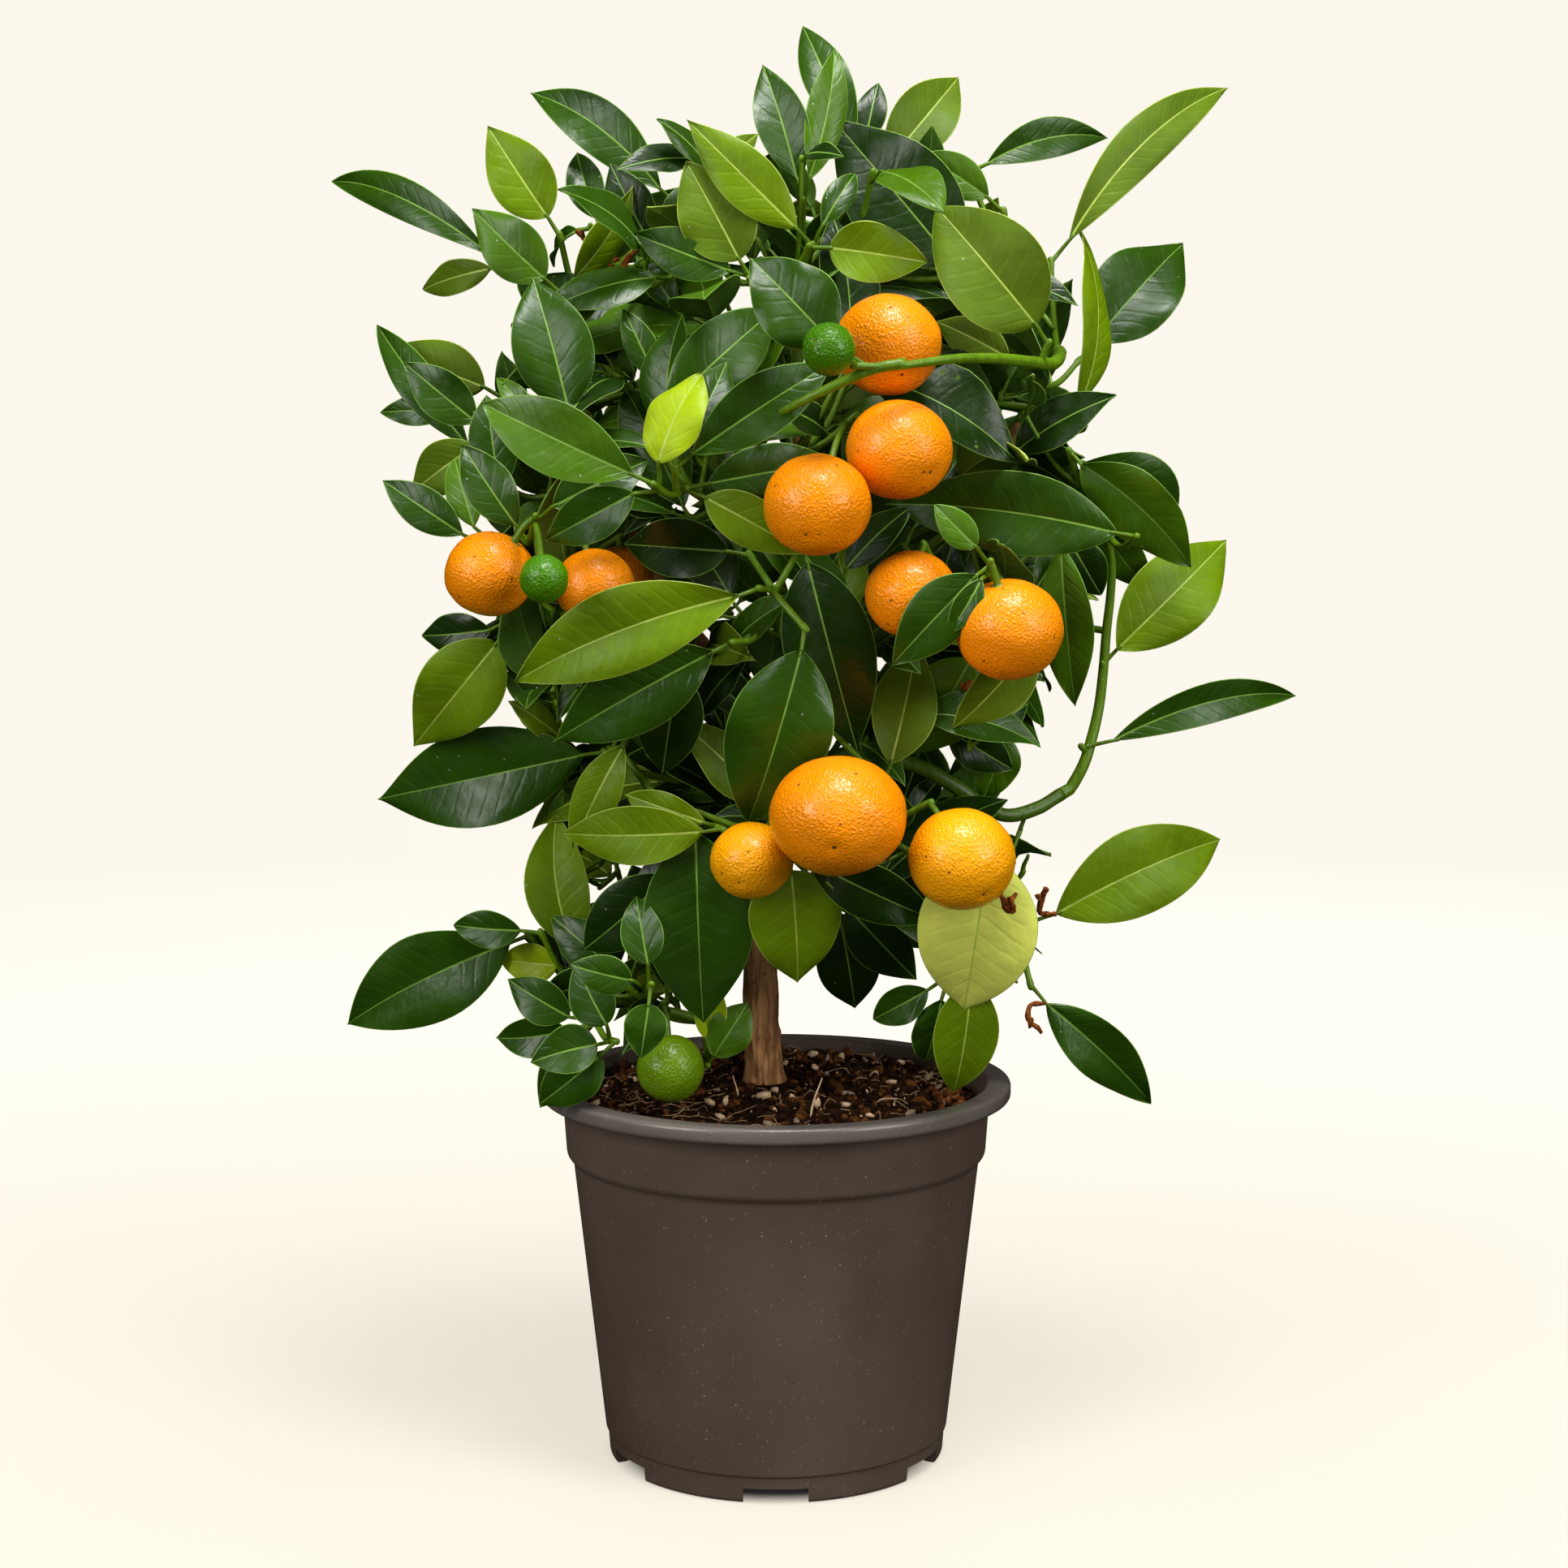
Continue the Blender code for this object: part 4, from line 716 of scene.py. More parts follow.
def bark_finish(name, ridge, furrow):
    """Old bark: long ridges over dark furrows, with small knots."""
    finish = Finish(name, 0.8, shine=0.12)
    grain = finish.noise(1.0, 5.0, finish.stretched(520.0, 520.0, 75.0)).ramp(0.34, 0.66)
    patch = finish.noise(95.0, 4.0).ramp(0.3, 0.72)
    tint = finish.mix(grain, furrow, ridge)
    tint = finish.mix(patch * 0.55, tint, darker(ridge, 0.42))
    tint = finish.mix(finish.specks(260.0, 0.2, 0.3) * 0.6, tint, darker(furrow, 0.3))
    finish.colour(tint)
    finish.relief(grain + finish.noise(900.0, 3.0) * 0.4, 0.5)
    return finish.material


def shoot_finish(name, colour):
    """Smooth green bark with fine pale pores."""
    finish = Finish(name, 0.42, coat=0.1, coat_roughness=0.3)
    streak = finish.noise(1.0, 3.0, finish.stretched(420.0, 420.0, 60.0)).ramp(0.3, 0.7)
    tint = finish.mix(streak, darker(colour, 0.3), colour)
    finish.colour(finish.mix(finish.specks(700.0, 0.16, 0.2) * 0.5, tint, lighter(colour, 0.4)))
    finish.relief(streak + finish.noise(800.0), 0.12)
    return finish.material


def dried_finish(name, colour):
    """Shrivelled brown stalk."""
    finish = Finish(name, 0.9, shine=0.05)
    crease = finish.noise(600.0, 4.0).ramp(0.3, 0.7)
    finish.colour(finish.mix(crease, darker(colour, 0.5), brighter(colour, 0.3)))
    finish.relief(crease, 0.4)
    return finish.material


def plastic_finish(name, colour, speck, roughness, coat):
    """Moulded plastic from ground stock: fine specks and faint rubs."""
    finish = Finish(name, roughness, coat, coat_roughness=0.3)
    cloud = finish.noise(26.0, 4.0).ramp(0.3, 0.7)
    tint = finish.mix(cloud, darker(colour, 0.08), lighter(colour, 0.012))
    tint = finish.mix(finish.specks(450.0, 0.14, 0.6) * 0.28, tint, speck)
    tint = finish.mix(finish.specks(230.0, 0.08, 0.5) * 0.55, tint, speck)
    rubs = finish.noise(1.0, 4.0, finish.stretched(90.0, 90.0, 30.0)).ramp(0.6, 0.8)
    finish.colour(finish.mix(rubs * 0.03, tint, lighter(colour, 0.2)))
    finish.roughness(finish.noise(60.0, 3.0).ramp(0.3, 0.7, roughness - 0.05, roughness + 0.06))
    finish.relief(finish.noise(1600.0, 2.0) + cloud * 0.8, 0.08)
    return finish.material


def earth_finish(name, colour, roughness=0.95):
    """Crumbly moist peat."""
    finish = Finish(name, roughness, shine=0.1)
    clod = finish.noise(260.0, 5.0).ramp(0.32, 0.7)
    tint = finish.mix(clod, darker(colour, 0.6), brighter(colour, 0.5))
    finish.colour(finish.mix(finish.specks(800.0, 0.22, 0.12) * 0.6, tint, brighter(colour, 3.0)))
    finish.relief(clod + finish.noise(1400.0, 3.0) * 0.5, 0.9)
    return finish.material


def chip_finish(name, colour):
    """Wood chips and dry roots."""
    finish = Finish(name, 0.8, shine=0.15)
    streak = finish.noise(700.0, 3.0).ramp(0.3, 0.7)
    finish.colour(finish.mix(streak, darker(colour, 0.38), lighter(colour, 0.1)))
    finish.relief(streak, 0.3)
    return finish.material


def backdrop_finish(name, colour):
    """Seamless pale paper whose emission is painted light and shade: brighter away from the pot, dimmer and
    warmer near it, and dark round the foot as a painted contact shadow.
    """
    finish = Finish(name, 0.9, shine=0.0)
    finish.colour(finish.mix(finish.noise(3.0), darker(colour, 0.8), darker(colour, 0.79)))
    distance = finish.node("ShaderNodeVectorMath", {"operation": "LENGTH"}, {0: finish.places()}, 1)
    warm_shade = tuple(part * share for part, share in zip(colour, SHADE_WARMTH))
    # Painted light and shade: the emission is dimmer and warmer near the pot, brighter away from it
    painted_light_and_shade = finish.mix(distance.ramp(0.08, 0.9), darker(warm_shade, 0.29), darker(colour, 0.09))
    # Painted contact shadow: the emission goes nearly black under and round the pot's foot
    painted_light_and_shade = finish.mix(distance.ramp(0.044, 0.056), darker(colour, 0.99), painted_light_and_shade)
    finish.feed(finish.shader.inputs["Emission Color"], painted_light_and_shade)
    finish.shader.inputs["Emission Strength"].default_value = 1.0
    return finish.material


# Directions, circles and paths
def random_way(dice):
    """A direction thrown at random."""
    return Vector((dice.gauss(0, 1), dice.gauss(0, 1), dice.gauss(0, 1))).normalized()


def square_to(along, way):
    """The direction nearest to a way that stands square to another."""
    return (way - along * way.dot(along)).normalized()


def angles_round(count):
    """The angles of so many even steps round a circle."""
    return [2 * math.pi * turn / count for turn in range(count)]


def wall_faces(rings, sides, first=0):
    """The four-cornered faces between rings of corners that follow each other."""
    faces = []
    for ring in range(rings - 1):
        start = first + ring * sides
        for turn in range(sides):
            here, there = start + turn, start + (turn + 1) % sides
            faces.append((here, there, there + sides, here + sides))
    return faces


def smooth_path(points, step):
    """A smooth curve through the points, as a list of points about one step apart."""
    points = [Vector(point) for point in points]
    ends = [points[0] * 2 - points[1]] + points + [points[-1] * 2 - points[-2]]
    path = [points[0]]
    for before, start, end, after in zip(ends, ends[1:], ends[2:], ends[3:]):
        count = max(1, round((end - start).length / step))
        for index in range(1, count + 1):
            t = index / count
            path.append(
                0.5 * (
                    2 * start
                    + (end - before) * t
                    + (2 * before - 5 * start + 4 * end - after) * t ** 2
                    + (3 * start - before - 3 * end + after) * t ** 3
                )
            )
    return path


def tapered(path, first, last):
    """Radii along the path, from the first to the last."""
    count = len(path) - 1
    return [first + (last - first) * index / count for index in range(count + 1)]


def distance_to_path(point, path):
    """The distance from a point to a line of points, and the index of the nearest stretch."""
    best = (math.inf, 0)
    for index, (start, end) in enumerate(zip(path, path[1:])):
        along = end - start
        share = min(1.0, max(0.0, (point - start).dot(along) / along.length_squared))
        best = min(best, ((start + along * share - point).length, index))
    return best


def path_from_tip(parent_path, way):
    """A path that goes on from a limb's tip, a clearance beyond it."""
    along = (parent_path[-1] - parent_path[-2]).normalized()
    start = parent_path[-1] + along * CLEARANCE
    return smooth_path((start, start + along * FIRST_STRAIGHT) + way, TWIG_STEP)


def seated_path(points, radius, parent_path, parent_radii):
    """Moves the first point out along the path until its flat end clears the parent."""
    path = smooth_path(points, TWIG_STEP)
    along = (path[1] - path[0]).normalized()
    side = along.orthogonal().normalized()
    start = path[0].copy()
    for step in range(200):
        start = path[0] + along * 0.1 * step
        turns = [Matrix.Rotation(math.radians(30 * turn), 3, along) for turn in range(12)]
        rim = [start + turn @ side * radius for turn in turns]
        gaps = []
        for point in rim + [start]:
            distance, index = distance_to_path(point, parent_path)
            gaps.append(distance - max(parent_radii[index], parent_radii[index + 1]))
        if min(gaps) >= CLEARANCE:
            break
    rest = [point for point in path[1:] if (point - path[0]).dot(along) > (start - path[0]).dot(along) + 1.5]
    return [start] + rest


def height_on_path(path, height):
    """The point of a rising path at a height."""
    for start, end in zip(path, path[1:]):
        if start.z <= height <= end.z:
            return start.lerp(end, (height - start.z) / (end.z - start.z))
    raise ValueError(f"no point at height {height}")


# Plain shapes that stand for twigs, leaves and fruit while the crown grows
def tube_shape(path, radii, sides, grow=0.0):
    """A closed tube along the path."""
    corners = []
    side = (path[1] - path[0]).orthogonal().normalized()
    for index, (point, radius) in enumerate(zip(path, radii)):
        along = (path[min(index + 1, len(path) - 1)] - path[max(index - 1, 0)]).normalized()
        side = square_to(along, side)
        across = along.cross(side)
        for angle in angles_round(sides):
            corners.append(point + (side * math.cos(angle) + across * math.sin(angle)) * (radius + grow))
    last = len(corners) - sides
    ends = [tuple(reversed(range(sides))), tuple(range(last, last + sides))]
    return corners, wall_faces(len(path), sides) + ends


def leaf_stations(base, along, normal, length, shares):
    """Points on the middle line of a leaf that droops from its upper face, and the upward way at each."""
    across = along.cross(normal).normalized()
    stations = []
    for share in shares:
        turn = Matrix.Rotation(math.radians(-LEAF_DROOP * share), 3, across)
        stations.append((base + turn @ along * length * share, turn @ normal))
    return stations, across


def leaf_shape(node, blade, grow=0.0):
    """A thin pointed blade on a three-sided stalk."""
    base, along, normal, length = blade.base, blade.along, blade.normal, blade.length
    stations, across = leaf_stations(base, along, normal, length, (0.36, 0.48, 0.74, 1.0))
    half = blade.width / 2 + grow
    thick = length * LEAF_THICKNESS / 2 + grow
    stalk = PETIOLE_RADIUS + grow
    corners = []
    for place in (node - along * grow, base):
        corners += [place - across * stalk, place + across * stalk, place - normal * stalk * 1.4]
    for (point, _), share in ((stations[0], 1.0), (stations[2], 0.74)):
        corners += [point - across * half * share, point + across * half * share]
    corners.append(stations[3][0] + along * grow)
    middle, up = stations[1]
    corners += [middle + up * thick, middle - up * thick]
    faces = [(2, 1, 0), (0, 1, 4), (0, 4, 3), (1, 2, 5), (1, 5, 4), (2, 0, 3), (2, 3, 5)]
    faces += [(3, 4, 11), (3, 11, 6), (4, 7, 11), (6, 11, 8), (7, 9, 11), (8, 11, 10), (11, 9, 10)]
    faces += [(5, 3, 12), (4, 5, 12), (3, 6, 12), (7, 4, 12)]
    faces += [(6, 8, 12), (9, 7, 12), (8, 10, 12), (10, 9, 12)]
    return corners, faces


def plain_leaf_shape(node, blade, grow=0.0):
    """A plainer blade: it widens from the twig to its middle and narrows to its tip."""
    along, normal, length = blade.along, blade.normal, blade.length
    stations, across = leaf_stations(blade.base, along, normal, length, (0.44, 1.0))
    half = blade.width / 2 + grow
    thick = length * LEAF_THICKNESS / 2 + grow
    stalk = PETIOLE_RADIUS + grow
    start = node - along * grow
    middle, up = stations[0]
    corners = [start - across * stalk, start + across * stalk, start - normal * stalk * 1.4]
    corners += [middle - across * half, middle + across * half, middle + up * thick, middle - up * thick]
    corners.append(stations[1][0] + along * grow)
    faces = [(2, 1, 0), (0, 1, 5), (0, 5, 3), (1, 4, 5), (0, 3, 6), (2, 0, 6), (1, 2, 6), (4, 1, 6)]
    faces += [(3, 5, 7), (5, 4, 7), (6, 3, 7), (4, 6, 7)]
    return corners, faces


def ball_shape(item, grow=0.0):
    """A round fruit, a little flatter than a ball where its height is under 1."""
    shape = bmesh.new()
    bmesh.ops.create_icosphere(shape, subdivisions=2, radius=item.diameter / 2 + grow)
    corners = [item.centre + Vector((v.co.x, v.co.y, v.co.z * item.height)) for v in shape.verts]
    faces = [tuple(v.index for v in face.verts) for face in shape.faces]
    shape.free()
    return corners, faces


def ball_round(corners):
    """The middle of some corners and how far they reach from it, as four numbers."""
    places = np.array(corners)
    middle = places.mean(axis=0)
    return np.append(middle, np.linalg.norm(places - middle, axis=1).max())


class Space:
    """What stands in the crown so far: it tells whether a new piece would touch anything of another owner."""

    def __init__(self):
        self.pieces = []
        self.balls = np.zeros((MOST_PIECES, 4))

    def add(self, owner, kind, shape):
        corners, faces = shape
        self.balls[len(self.pieces)] = ball_round(corners)
        self.pieces.append((owner, kind, BVHTree.FromPolygons(corners, faces)))

    def free(self, owner, kind, shape):
        corners, faces = shape
        ball = ball_round(corners)
        others = self.balls[:len(self.pieces)]
        gaps = np.linalg.norm(others[:, :3] - ball[:3], axis=1) - others[:, 3] - ball[3]
        tree = None
        for index in np.flatnonzero(gaps <= 0):
            other, other_kind, other_tree = self.pieces[index]
            if other == owner and "twig" in (kind, other_kind):
                continue
            tree = tree or BVHTree.FromPolygons(corners, faces)
            if tree.overlap(other_tree):
                return False
        return True


# Growth, as in the solids
def trunk_radius(point, foot, tip):
    """The trunk's radius at a point: an even taper with a flare at its foot."""
    rise = (point.z - foot.z) / (tip.z - foot.z)
    spread = max(0.0, 1 - (point.z - foot.z) / FLARE_HEIGHT) ** 2
    radius = TRUNK_FOOT_RADIUS + (TRUNK_FORK_RADIUS - TRUNK_FOOT_RADIUS) * rise
    return radius + (TRUNK_FLARE_RADIUS - TRUNK_FOOT_RADIUS) * spread


def grow_limbs():
    """Every limb's path and radii, from the named places above."""
    trunk = smooth_path(TRUNK_PATH, TWIG_STEP)
    flare = [trunk[0]] + [trunk[0] + Vector((0, 0, rise)) for rise in FLARE_RINGS]
    trunk = flare + [point for point in trunk[1:] if point.z > flare[-1].z + 2]
    limbs = {"trunk": (trunk, [trunk_radius(point, trunk[0], trunk[-1]) for point in trunk])}
    for name, (parent, height, way, first, last) in BOUGHS.items():
        parent_path, parent_radii = limbs[parent]
        if height is None:
            path = path_from_tip(parent_path, way)
        else:
            start = height_on_path(parent_path, height)
            path = seated_path((start,) + way, first, parent_path, parent_radii)
        limbs[name] = (path, tapered(path, first, last))
    return limbs


def inside_crown(point):
    """Whether a point is inside the crown's outline and above the pot's rim."""
    if point.z < RIM_CLEAR_Z or point.y < FRONT_DEPTH:
        return False
    half = 0.0
    for (low, low_half), (high, high_half) in zip(CROWN_OUTLINE, CROWN_OUTLINE[1:]):
        if low <= point.z <= high:
            half = low_half + (high_half - low_half) * (point.z - low) / (high - low)
    if half == 0.0:
        return False
    return ((point.x - CROWN_CENTRE_X) / half) ** 2 + (point.y / (half * CROWN_DEPTH)) ** 2 < 1


def spray_shapes(twig, items, grow):
    """The plain shapes of one spray with its twig, as kinds and shapes."""
    shapes = [("twig", tube_shape(twig.path, tapered(twig.path, twig.first, twig.last), 3, grow))]
    for foot, item in zip(twig.feet, items):
        if isinstance(item, Fruit):
            top = item.centre + (foot - item.centre).normalized() * item.diameter * 0.3
            shapes.append(("twig", tube_shape([foot, top], [FRUIT_STALK_RADIUS] * 2, 3, grow)))
            shapes.append(("fruit", ball_shape(item, grow)))
        else:
            make = plain_leaf_shape if item.plain else leaf_shape
            shapes.append(("leaf", make(foot, item, grow)))
    return shapes


class Mass:
    """One mass of foliage: its skeleton of twigs and what grows on it."""

    def __init__(self, name, space, limbs):
        carrier, stem, self.fill, middle, reach, self.sprays = FOLIAGE[name]
        self.name, self.space = name, space
        self.middle, self.reach = Vector(middle), Vector(reach)
        path, radii = limbs[carrier]
        self.carrier_end = radii[-1]
        self.on_tip = name not in ("foliage_basal", "foliage_left_upper")
        if self.on_tip:
            self.foot = path[-1] - (path[-1] - path[-2]).normalized() * 2
            self.stem = path_from_tip(path, stem)
        else:
            self.foot = height_on_path(path, BASAL_FOOT_Z) if name == "foliage_basal" else path[-3]
            self.stem = seated_path((self.foot,) + stem, STEM_RADIUS, path, radii)
        self.skeleton = smooth_path(self.stem, JOINT_SPACING)[2:]
        self.twigs, self.stalks, self.blades, self.fruit = [], [], [], []
        space.add(name, "twig", tube_shape(self.stem, tapered(self.stem, STEM_RADIUS, TWIG_RADIUS), 4))

    def joints(self, node, rule):
        """The skeleton's points that a twig to the node is tried from, the likeliest first."""
        stem_foot = self.stem[0]

        def detour(point):
            return (point - node).length + rule.rootward * (point - stem_foot).length

        return sorted(self.skeleton, key=detour)[rule.joints]

    def twig(self, joint, node, count, radius):
        """A twig that sags a little from the joint to the node, with a foot near its end for each item."""
        span = (node - joint).length
        path = [joint, joint.lerp(node, 0.5) - Vector((0, 0, TWIG_SAG * span)), node]
        if span < TWIG_BOW_SPAN:
            path.pop(1)
        back = path[-2] - node
        spacing = back.normalized() * min(LEAF_SPACING, 0.8 * back.length / count)
        feet = [node + spacing * (index + 0.3) for index in range(count)]
        return Twig(path, feet, radius, radius * TWIG_TAPER)

    def place(self, node, items, rule):
        """Grows the spray from the first joint that leaves every piece clear, and tells whether one did."""
        for joint in self.joints(node, rule):
            if (joint - node).length < NEAREST_JOINT:
                continue
            twig = self.twig(joint, node, len(items), rule.radius)
            wider = spray_shapes(twig, items, CLEARANCE)
            if all(self.space.free(self.name, *piece) for piece in wider):
                for piece in spray_shapes(twig, items, 0.0):
                    self.space.add(self.name, *piece)
                self.keep(twig, items)
                self.skeleton.remove(joint)
                self.skeleton.extend(smooth_path(twig.path[:2], JOINT_SPACING)[1:-1])
                return True
        return False

    def keep(self, twig, items):
        """Notes what a spray needs in the finished tree."""
        self.twigs.append(twig)
        for foot, item in zip(twig.feet, items):
            if isinstance(item, Fruit):
                self.fruit.append((foot, item))
            else:
                bow = (foot + item.base) / 2 - item.normal * 0.08 * (item.base - foot).length
                inside = item.base + item.along * item.length * 0.03
                self.stalks.append((foot, bow, item.base, inside))
                self.blades.append(item)


def shaped_items(node, items):
    """A named spray's items with each leaf's base and directions worked out from its angles."""
    shaped = []
    for item in items:
        if isinstance(item, Fruit):
            shaped.append(item)
            continue
        turn, tilt = math.radians(item.bearing), math.radians(item.lean)
        along = Vector((math.cos(turn) * math.cos(tilt), -math.sin(tilt), math.sin(turn) * math.cos(tilt)))
        normal = Matrix.Rotation(math.radians(item.roll), 3, along) @ square_to(along, Vector((0, -1, 0)))
        base = node + along * item.stalk
        shaped.append(Blade(item.tone, False, base, along, normal, item.length, item.width, item.bow))
    return shaped


def moved_items(items, shift):
    """The same items, shifted."""
    moved = []
    for item in items:
        if isinstance(item, Fruit):
            moved.append(item._replace(centre=item.centre + shift))
        else:
            moved.append(item._replace(base=item.base + shift))
    return moved


def place_named(mass, node, items):
    """Places a named spray, eased back or forward until it is clear of the rest."""
    shaped = shaped_items(node, items)
    for ease in EASES:
        shift = Vector((0, ease, 0))
        if mass.place(node + shift, moved_items(shaped, shift), FILL):
            return


def fan(node, dice, rule, tone):
    """Leaves fanned round a twig's end that points out of the crown, as far as they stay inside it."""
    outward = (node - Vector((CROWN_CENTRE_X, 0, node.z - 25))).normalized()
    items = []
    turn = dice.uniform(0, 360)
    for _ in range(dice.randint(*rule.count)):
        turn += GOLDEN_ANGLE
        side = Matrix.Rotation(math.radians(turn), 3, outward) @ outward.orthogonal().normalized()
        along = (outward + side * dice.uniform(*rule.spread)).normalized()
        normal = Vector((0, math.copysign(rule.facing, node.y), 0.8)) + outward * 0.7
        length = dice.uniform(*rule.lengths)
        base = node + along * SEEDED_STALK
        if inside_crown(base + along * length * 0.96) and inside_crown(base + along * length * 0.5):
            width = length * SEEDED_LEAF_RATIO * dice.uniform(*SEEDED_LEAF_SPREAD)
            items.append(Blade(tone, True, base, along, square_to(along, normal), length, width, 0))
    return items


def place_seeded(mass, dice, tone, rule):
    """Places one spray of a seeded rule: its node in the mass's reach, with leaves fanned round its twig."""
    for _ in range(rule.tries):
        ball = random_way(dice) * dice.random() ** rule.pull
        node = mass.middle + Vector([part * reach for part, reach in zip(ball, mass.reach)])
        if node.y < rule.front or not inside_crown(node):
            continue
        items = fan(node, dice, rule, tone)
        while len(items) >= rule.fewest:
            if mass.place(node, items, rule):
                return
            items.pop()


def tone_of(dice):
    """A leaf tone by its share."""
    throw = dice.random()
    for tone, share in TONE_SHARES:
        throw -= share
        if throw < 0:
            return tone
    return TONE_SHARES[0][0]


@lru_cache(maxsize=1)
def grown_crown(fine_sprays):
    """Every limb and mass of foliage: sprays with fruit first, then the other named and the seeded ones."""
    limbs = grow_limbs()
    space = Space()
    for name, (path, radii) in limbs.items():
        space.add(name, "limb", tube_shape(path, radii, 8))
    pot_axis = [Vector((0, 0, 0)), Vector((0, 0, POT_HEIGHT))]
    space.add("pot", "limb", tube_shape(pot_axis, [FOOT_RADIUS, LIP_RADIUS], 40))
    masses = [Mass(name, space, limbs) for name in FOLIAGE]
    for has_fruit in (True, False):
        for mass in masses:
            for node, items in mass.sprays:
                if any(isinstance(item, Fruit) for item in items) == has_fruit:
                    place_named(mass, node, items)
    dice, tones = random.Random(SEED), random.Random(SEED + 1)
    for turn in range(max(mass.fill for mass in masses)):
        for mass in masses:
            if turn < mass.fill:
                place_seeded(mass, dice, tone_of(tones), FILL)
    dice = random.Random(SEED + 2)
    for _ in range(fine_sprays):
        for mass in masses:
            place_seeded(mass, dice, tone_of(tones), FINE)
    return limbs, masses


def crown(scene):
    """The limbs and masses for the scene's settings, grown once."""
    return grown_crown(scene.calamondin_leaves.fine_sprays)


# Meshes
def new_object(name, data):
    """An object with this data, linked to the scene."""
    obj = bpy.data.objects.new(name, data)
    bpy.context.scene.collection.objects.link(obj)
    return obj


class Pile:
    """Many small closed shapes gathered into one mesh, each face with its finish."""

    def __init__(self):
        self.corners, self.loops, self.sizes, self.slots, self.places = [], [], [], [], []
        self.count = 0

    def add(self, corners, loops, sizes, slots, places=None):
        """Adds a shape from arrays: its corners, its faces' corners in a row, their counts and slots."""
        self.corners.append(np.asarray(corners, float).reshape(-1, 3))
        self.loops.append(np.asarray(loops) + self.count)
        self.sizes.append(np.asarray(sizes))
        self.slots.append(np.broadcast_to(slots, len(sizes)))
        if places is not None:
            self.places.append(places)
        self.count += len(self.corners[-1])

    def add_shape(self, shape, slot=0):
        corners, faces = shape
        loops = np.fromiter(chain.from_iterable(faces), int)
        self.add([tuple(corner) for corner in corners], loops, [len(face) for face in faces], slot)

    def make(self, name, finishes):
        """The joined mesh as an object in the row frame."""
        mesh = bpy.data.meshes.new(name)
        corners = np.concatenate(self.corners) * MM
        loops, sizes = np.concatenate(self.loops), np.concatenate(self.sizes)
        mesh.vertices.add(len(corners))
        mesh.vertices.foreach_set("co", corners.ravel())
        mesh.loops.add(len(loops))
        mesh.loops.foreach_set("vertex_index", loops)
        mesh.polygons.add(len(sizes))
        mesh.polygons.foreach_set("loop_start", np.cumsum(sizes) - sizes)
        mesh.polygons.foreach_set("material_index", np.concatenate(self.slots))
        mesh.update(calc_edges=True)
        if self.places:
            layer = mesh.uv_layers.new(name=LEAF_MAP)
            layer.uv.foreach_set("vector", np.concatenate(self.places)[loops].ravel())
        mesh.shade_smooth()
        for finish in finishes:
            mesh.materials.append(finish)
        return new_object(name, mesh)


def settle(piece, nodes):
    """Rides the piece on the plant's body and lets it stand for its solids."""
    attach(piece, "root")
    if nodes:
        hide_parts(*nodes)
    return piece


# Leaves
# The margin strips and the blade's ends take the midrib finish as a painted edge highlight
TOP, RIB, RIM_HIGHLIGHT, UNDER = range(4)


@lru_cache(maxsize=None)
def blade_net(rows, columns):
    """The faces of a blade's two sides and its two ends, as loops, sizes and what each face is."""
    top = np.arange(rows * columns).reshape(rows, columns)
    below = top.copy()
    below[:, 1:-1] = rows * columns + np.arange(rows * (columns - 2)).reshape(rows, columns - 2)
    half = columns // 2
    kinds = np.full(columns - 1, TOP)
    kinds[[half - 1, half]] = RIB
    kinds[[0, -1]] = RIM_HIGHLIGHT
    under_kinds = np.where(kinds == TOP, UNDER, kinds)
    loops, sizes, slots = [], [], []
    for side, row_kinds in ((top, kinds), (below[:, ::-1], under_kinds[::-1])):
        quads = np.stack([side[:-1, :-1], side[:-1, 1:], side[1:, 1:], side[1:, :-1]], axis=-1)
        loops.append(quads.ravel())
        sizes.append(np.full(quads.shape[0] * quads.shape[1], 4))
        slots.append(np.tile(row_kinds, rows - 1))
    for row in (0, rows - 1):
        ring = np.concatenate([top[row], below[row, -2:0:-1]])
        loops.append(ring[::-1] if row == 0 else ring)
        sizes.append(np.array([len(ring)]))
        slots.append(np.array([RIM_HIGHLIGHT]))
    return np.concatenate(loops), np.concatenate(sizes), np.concatenate(slots)


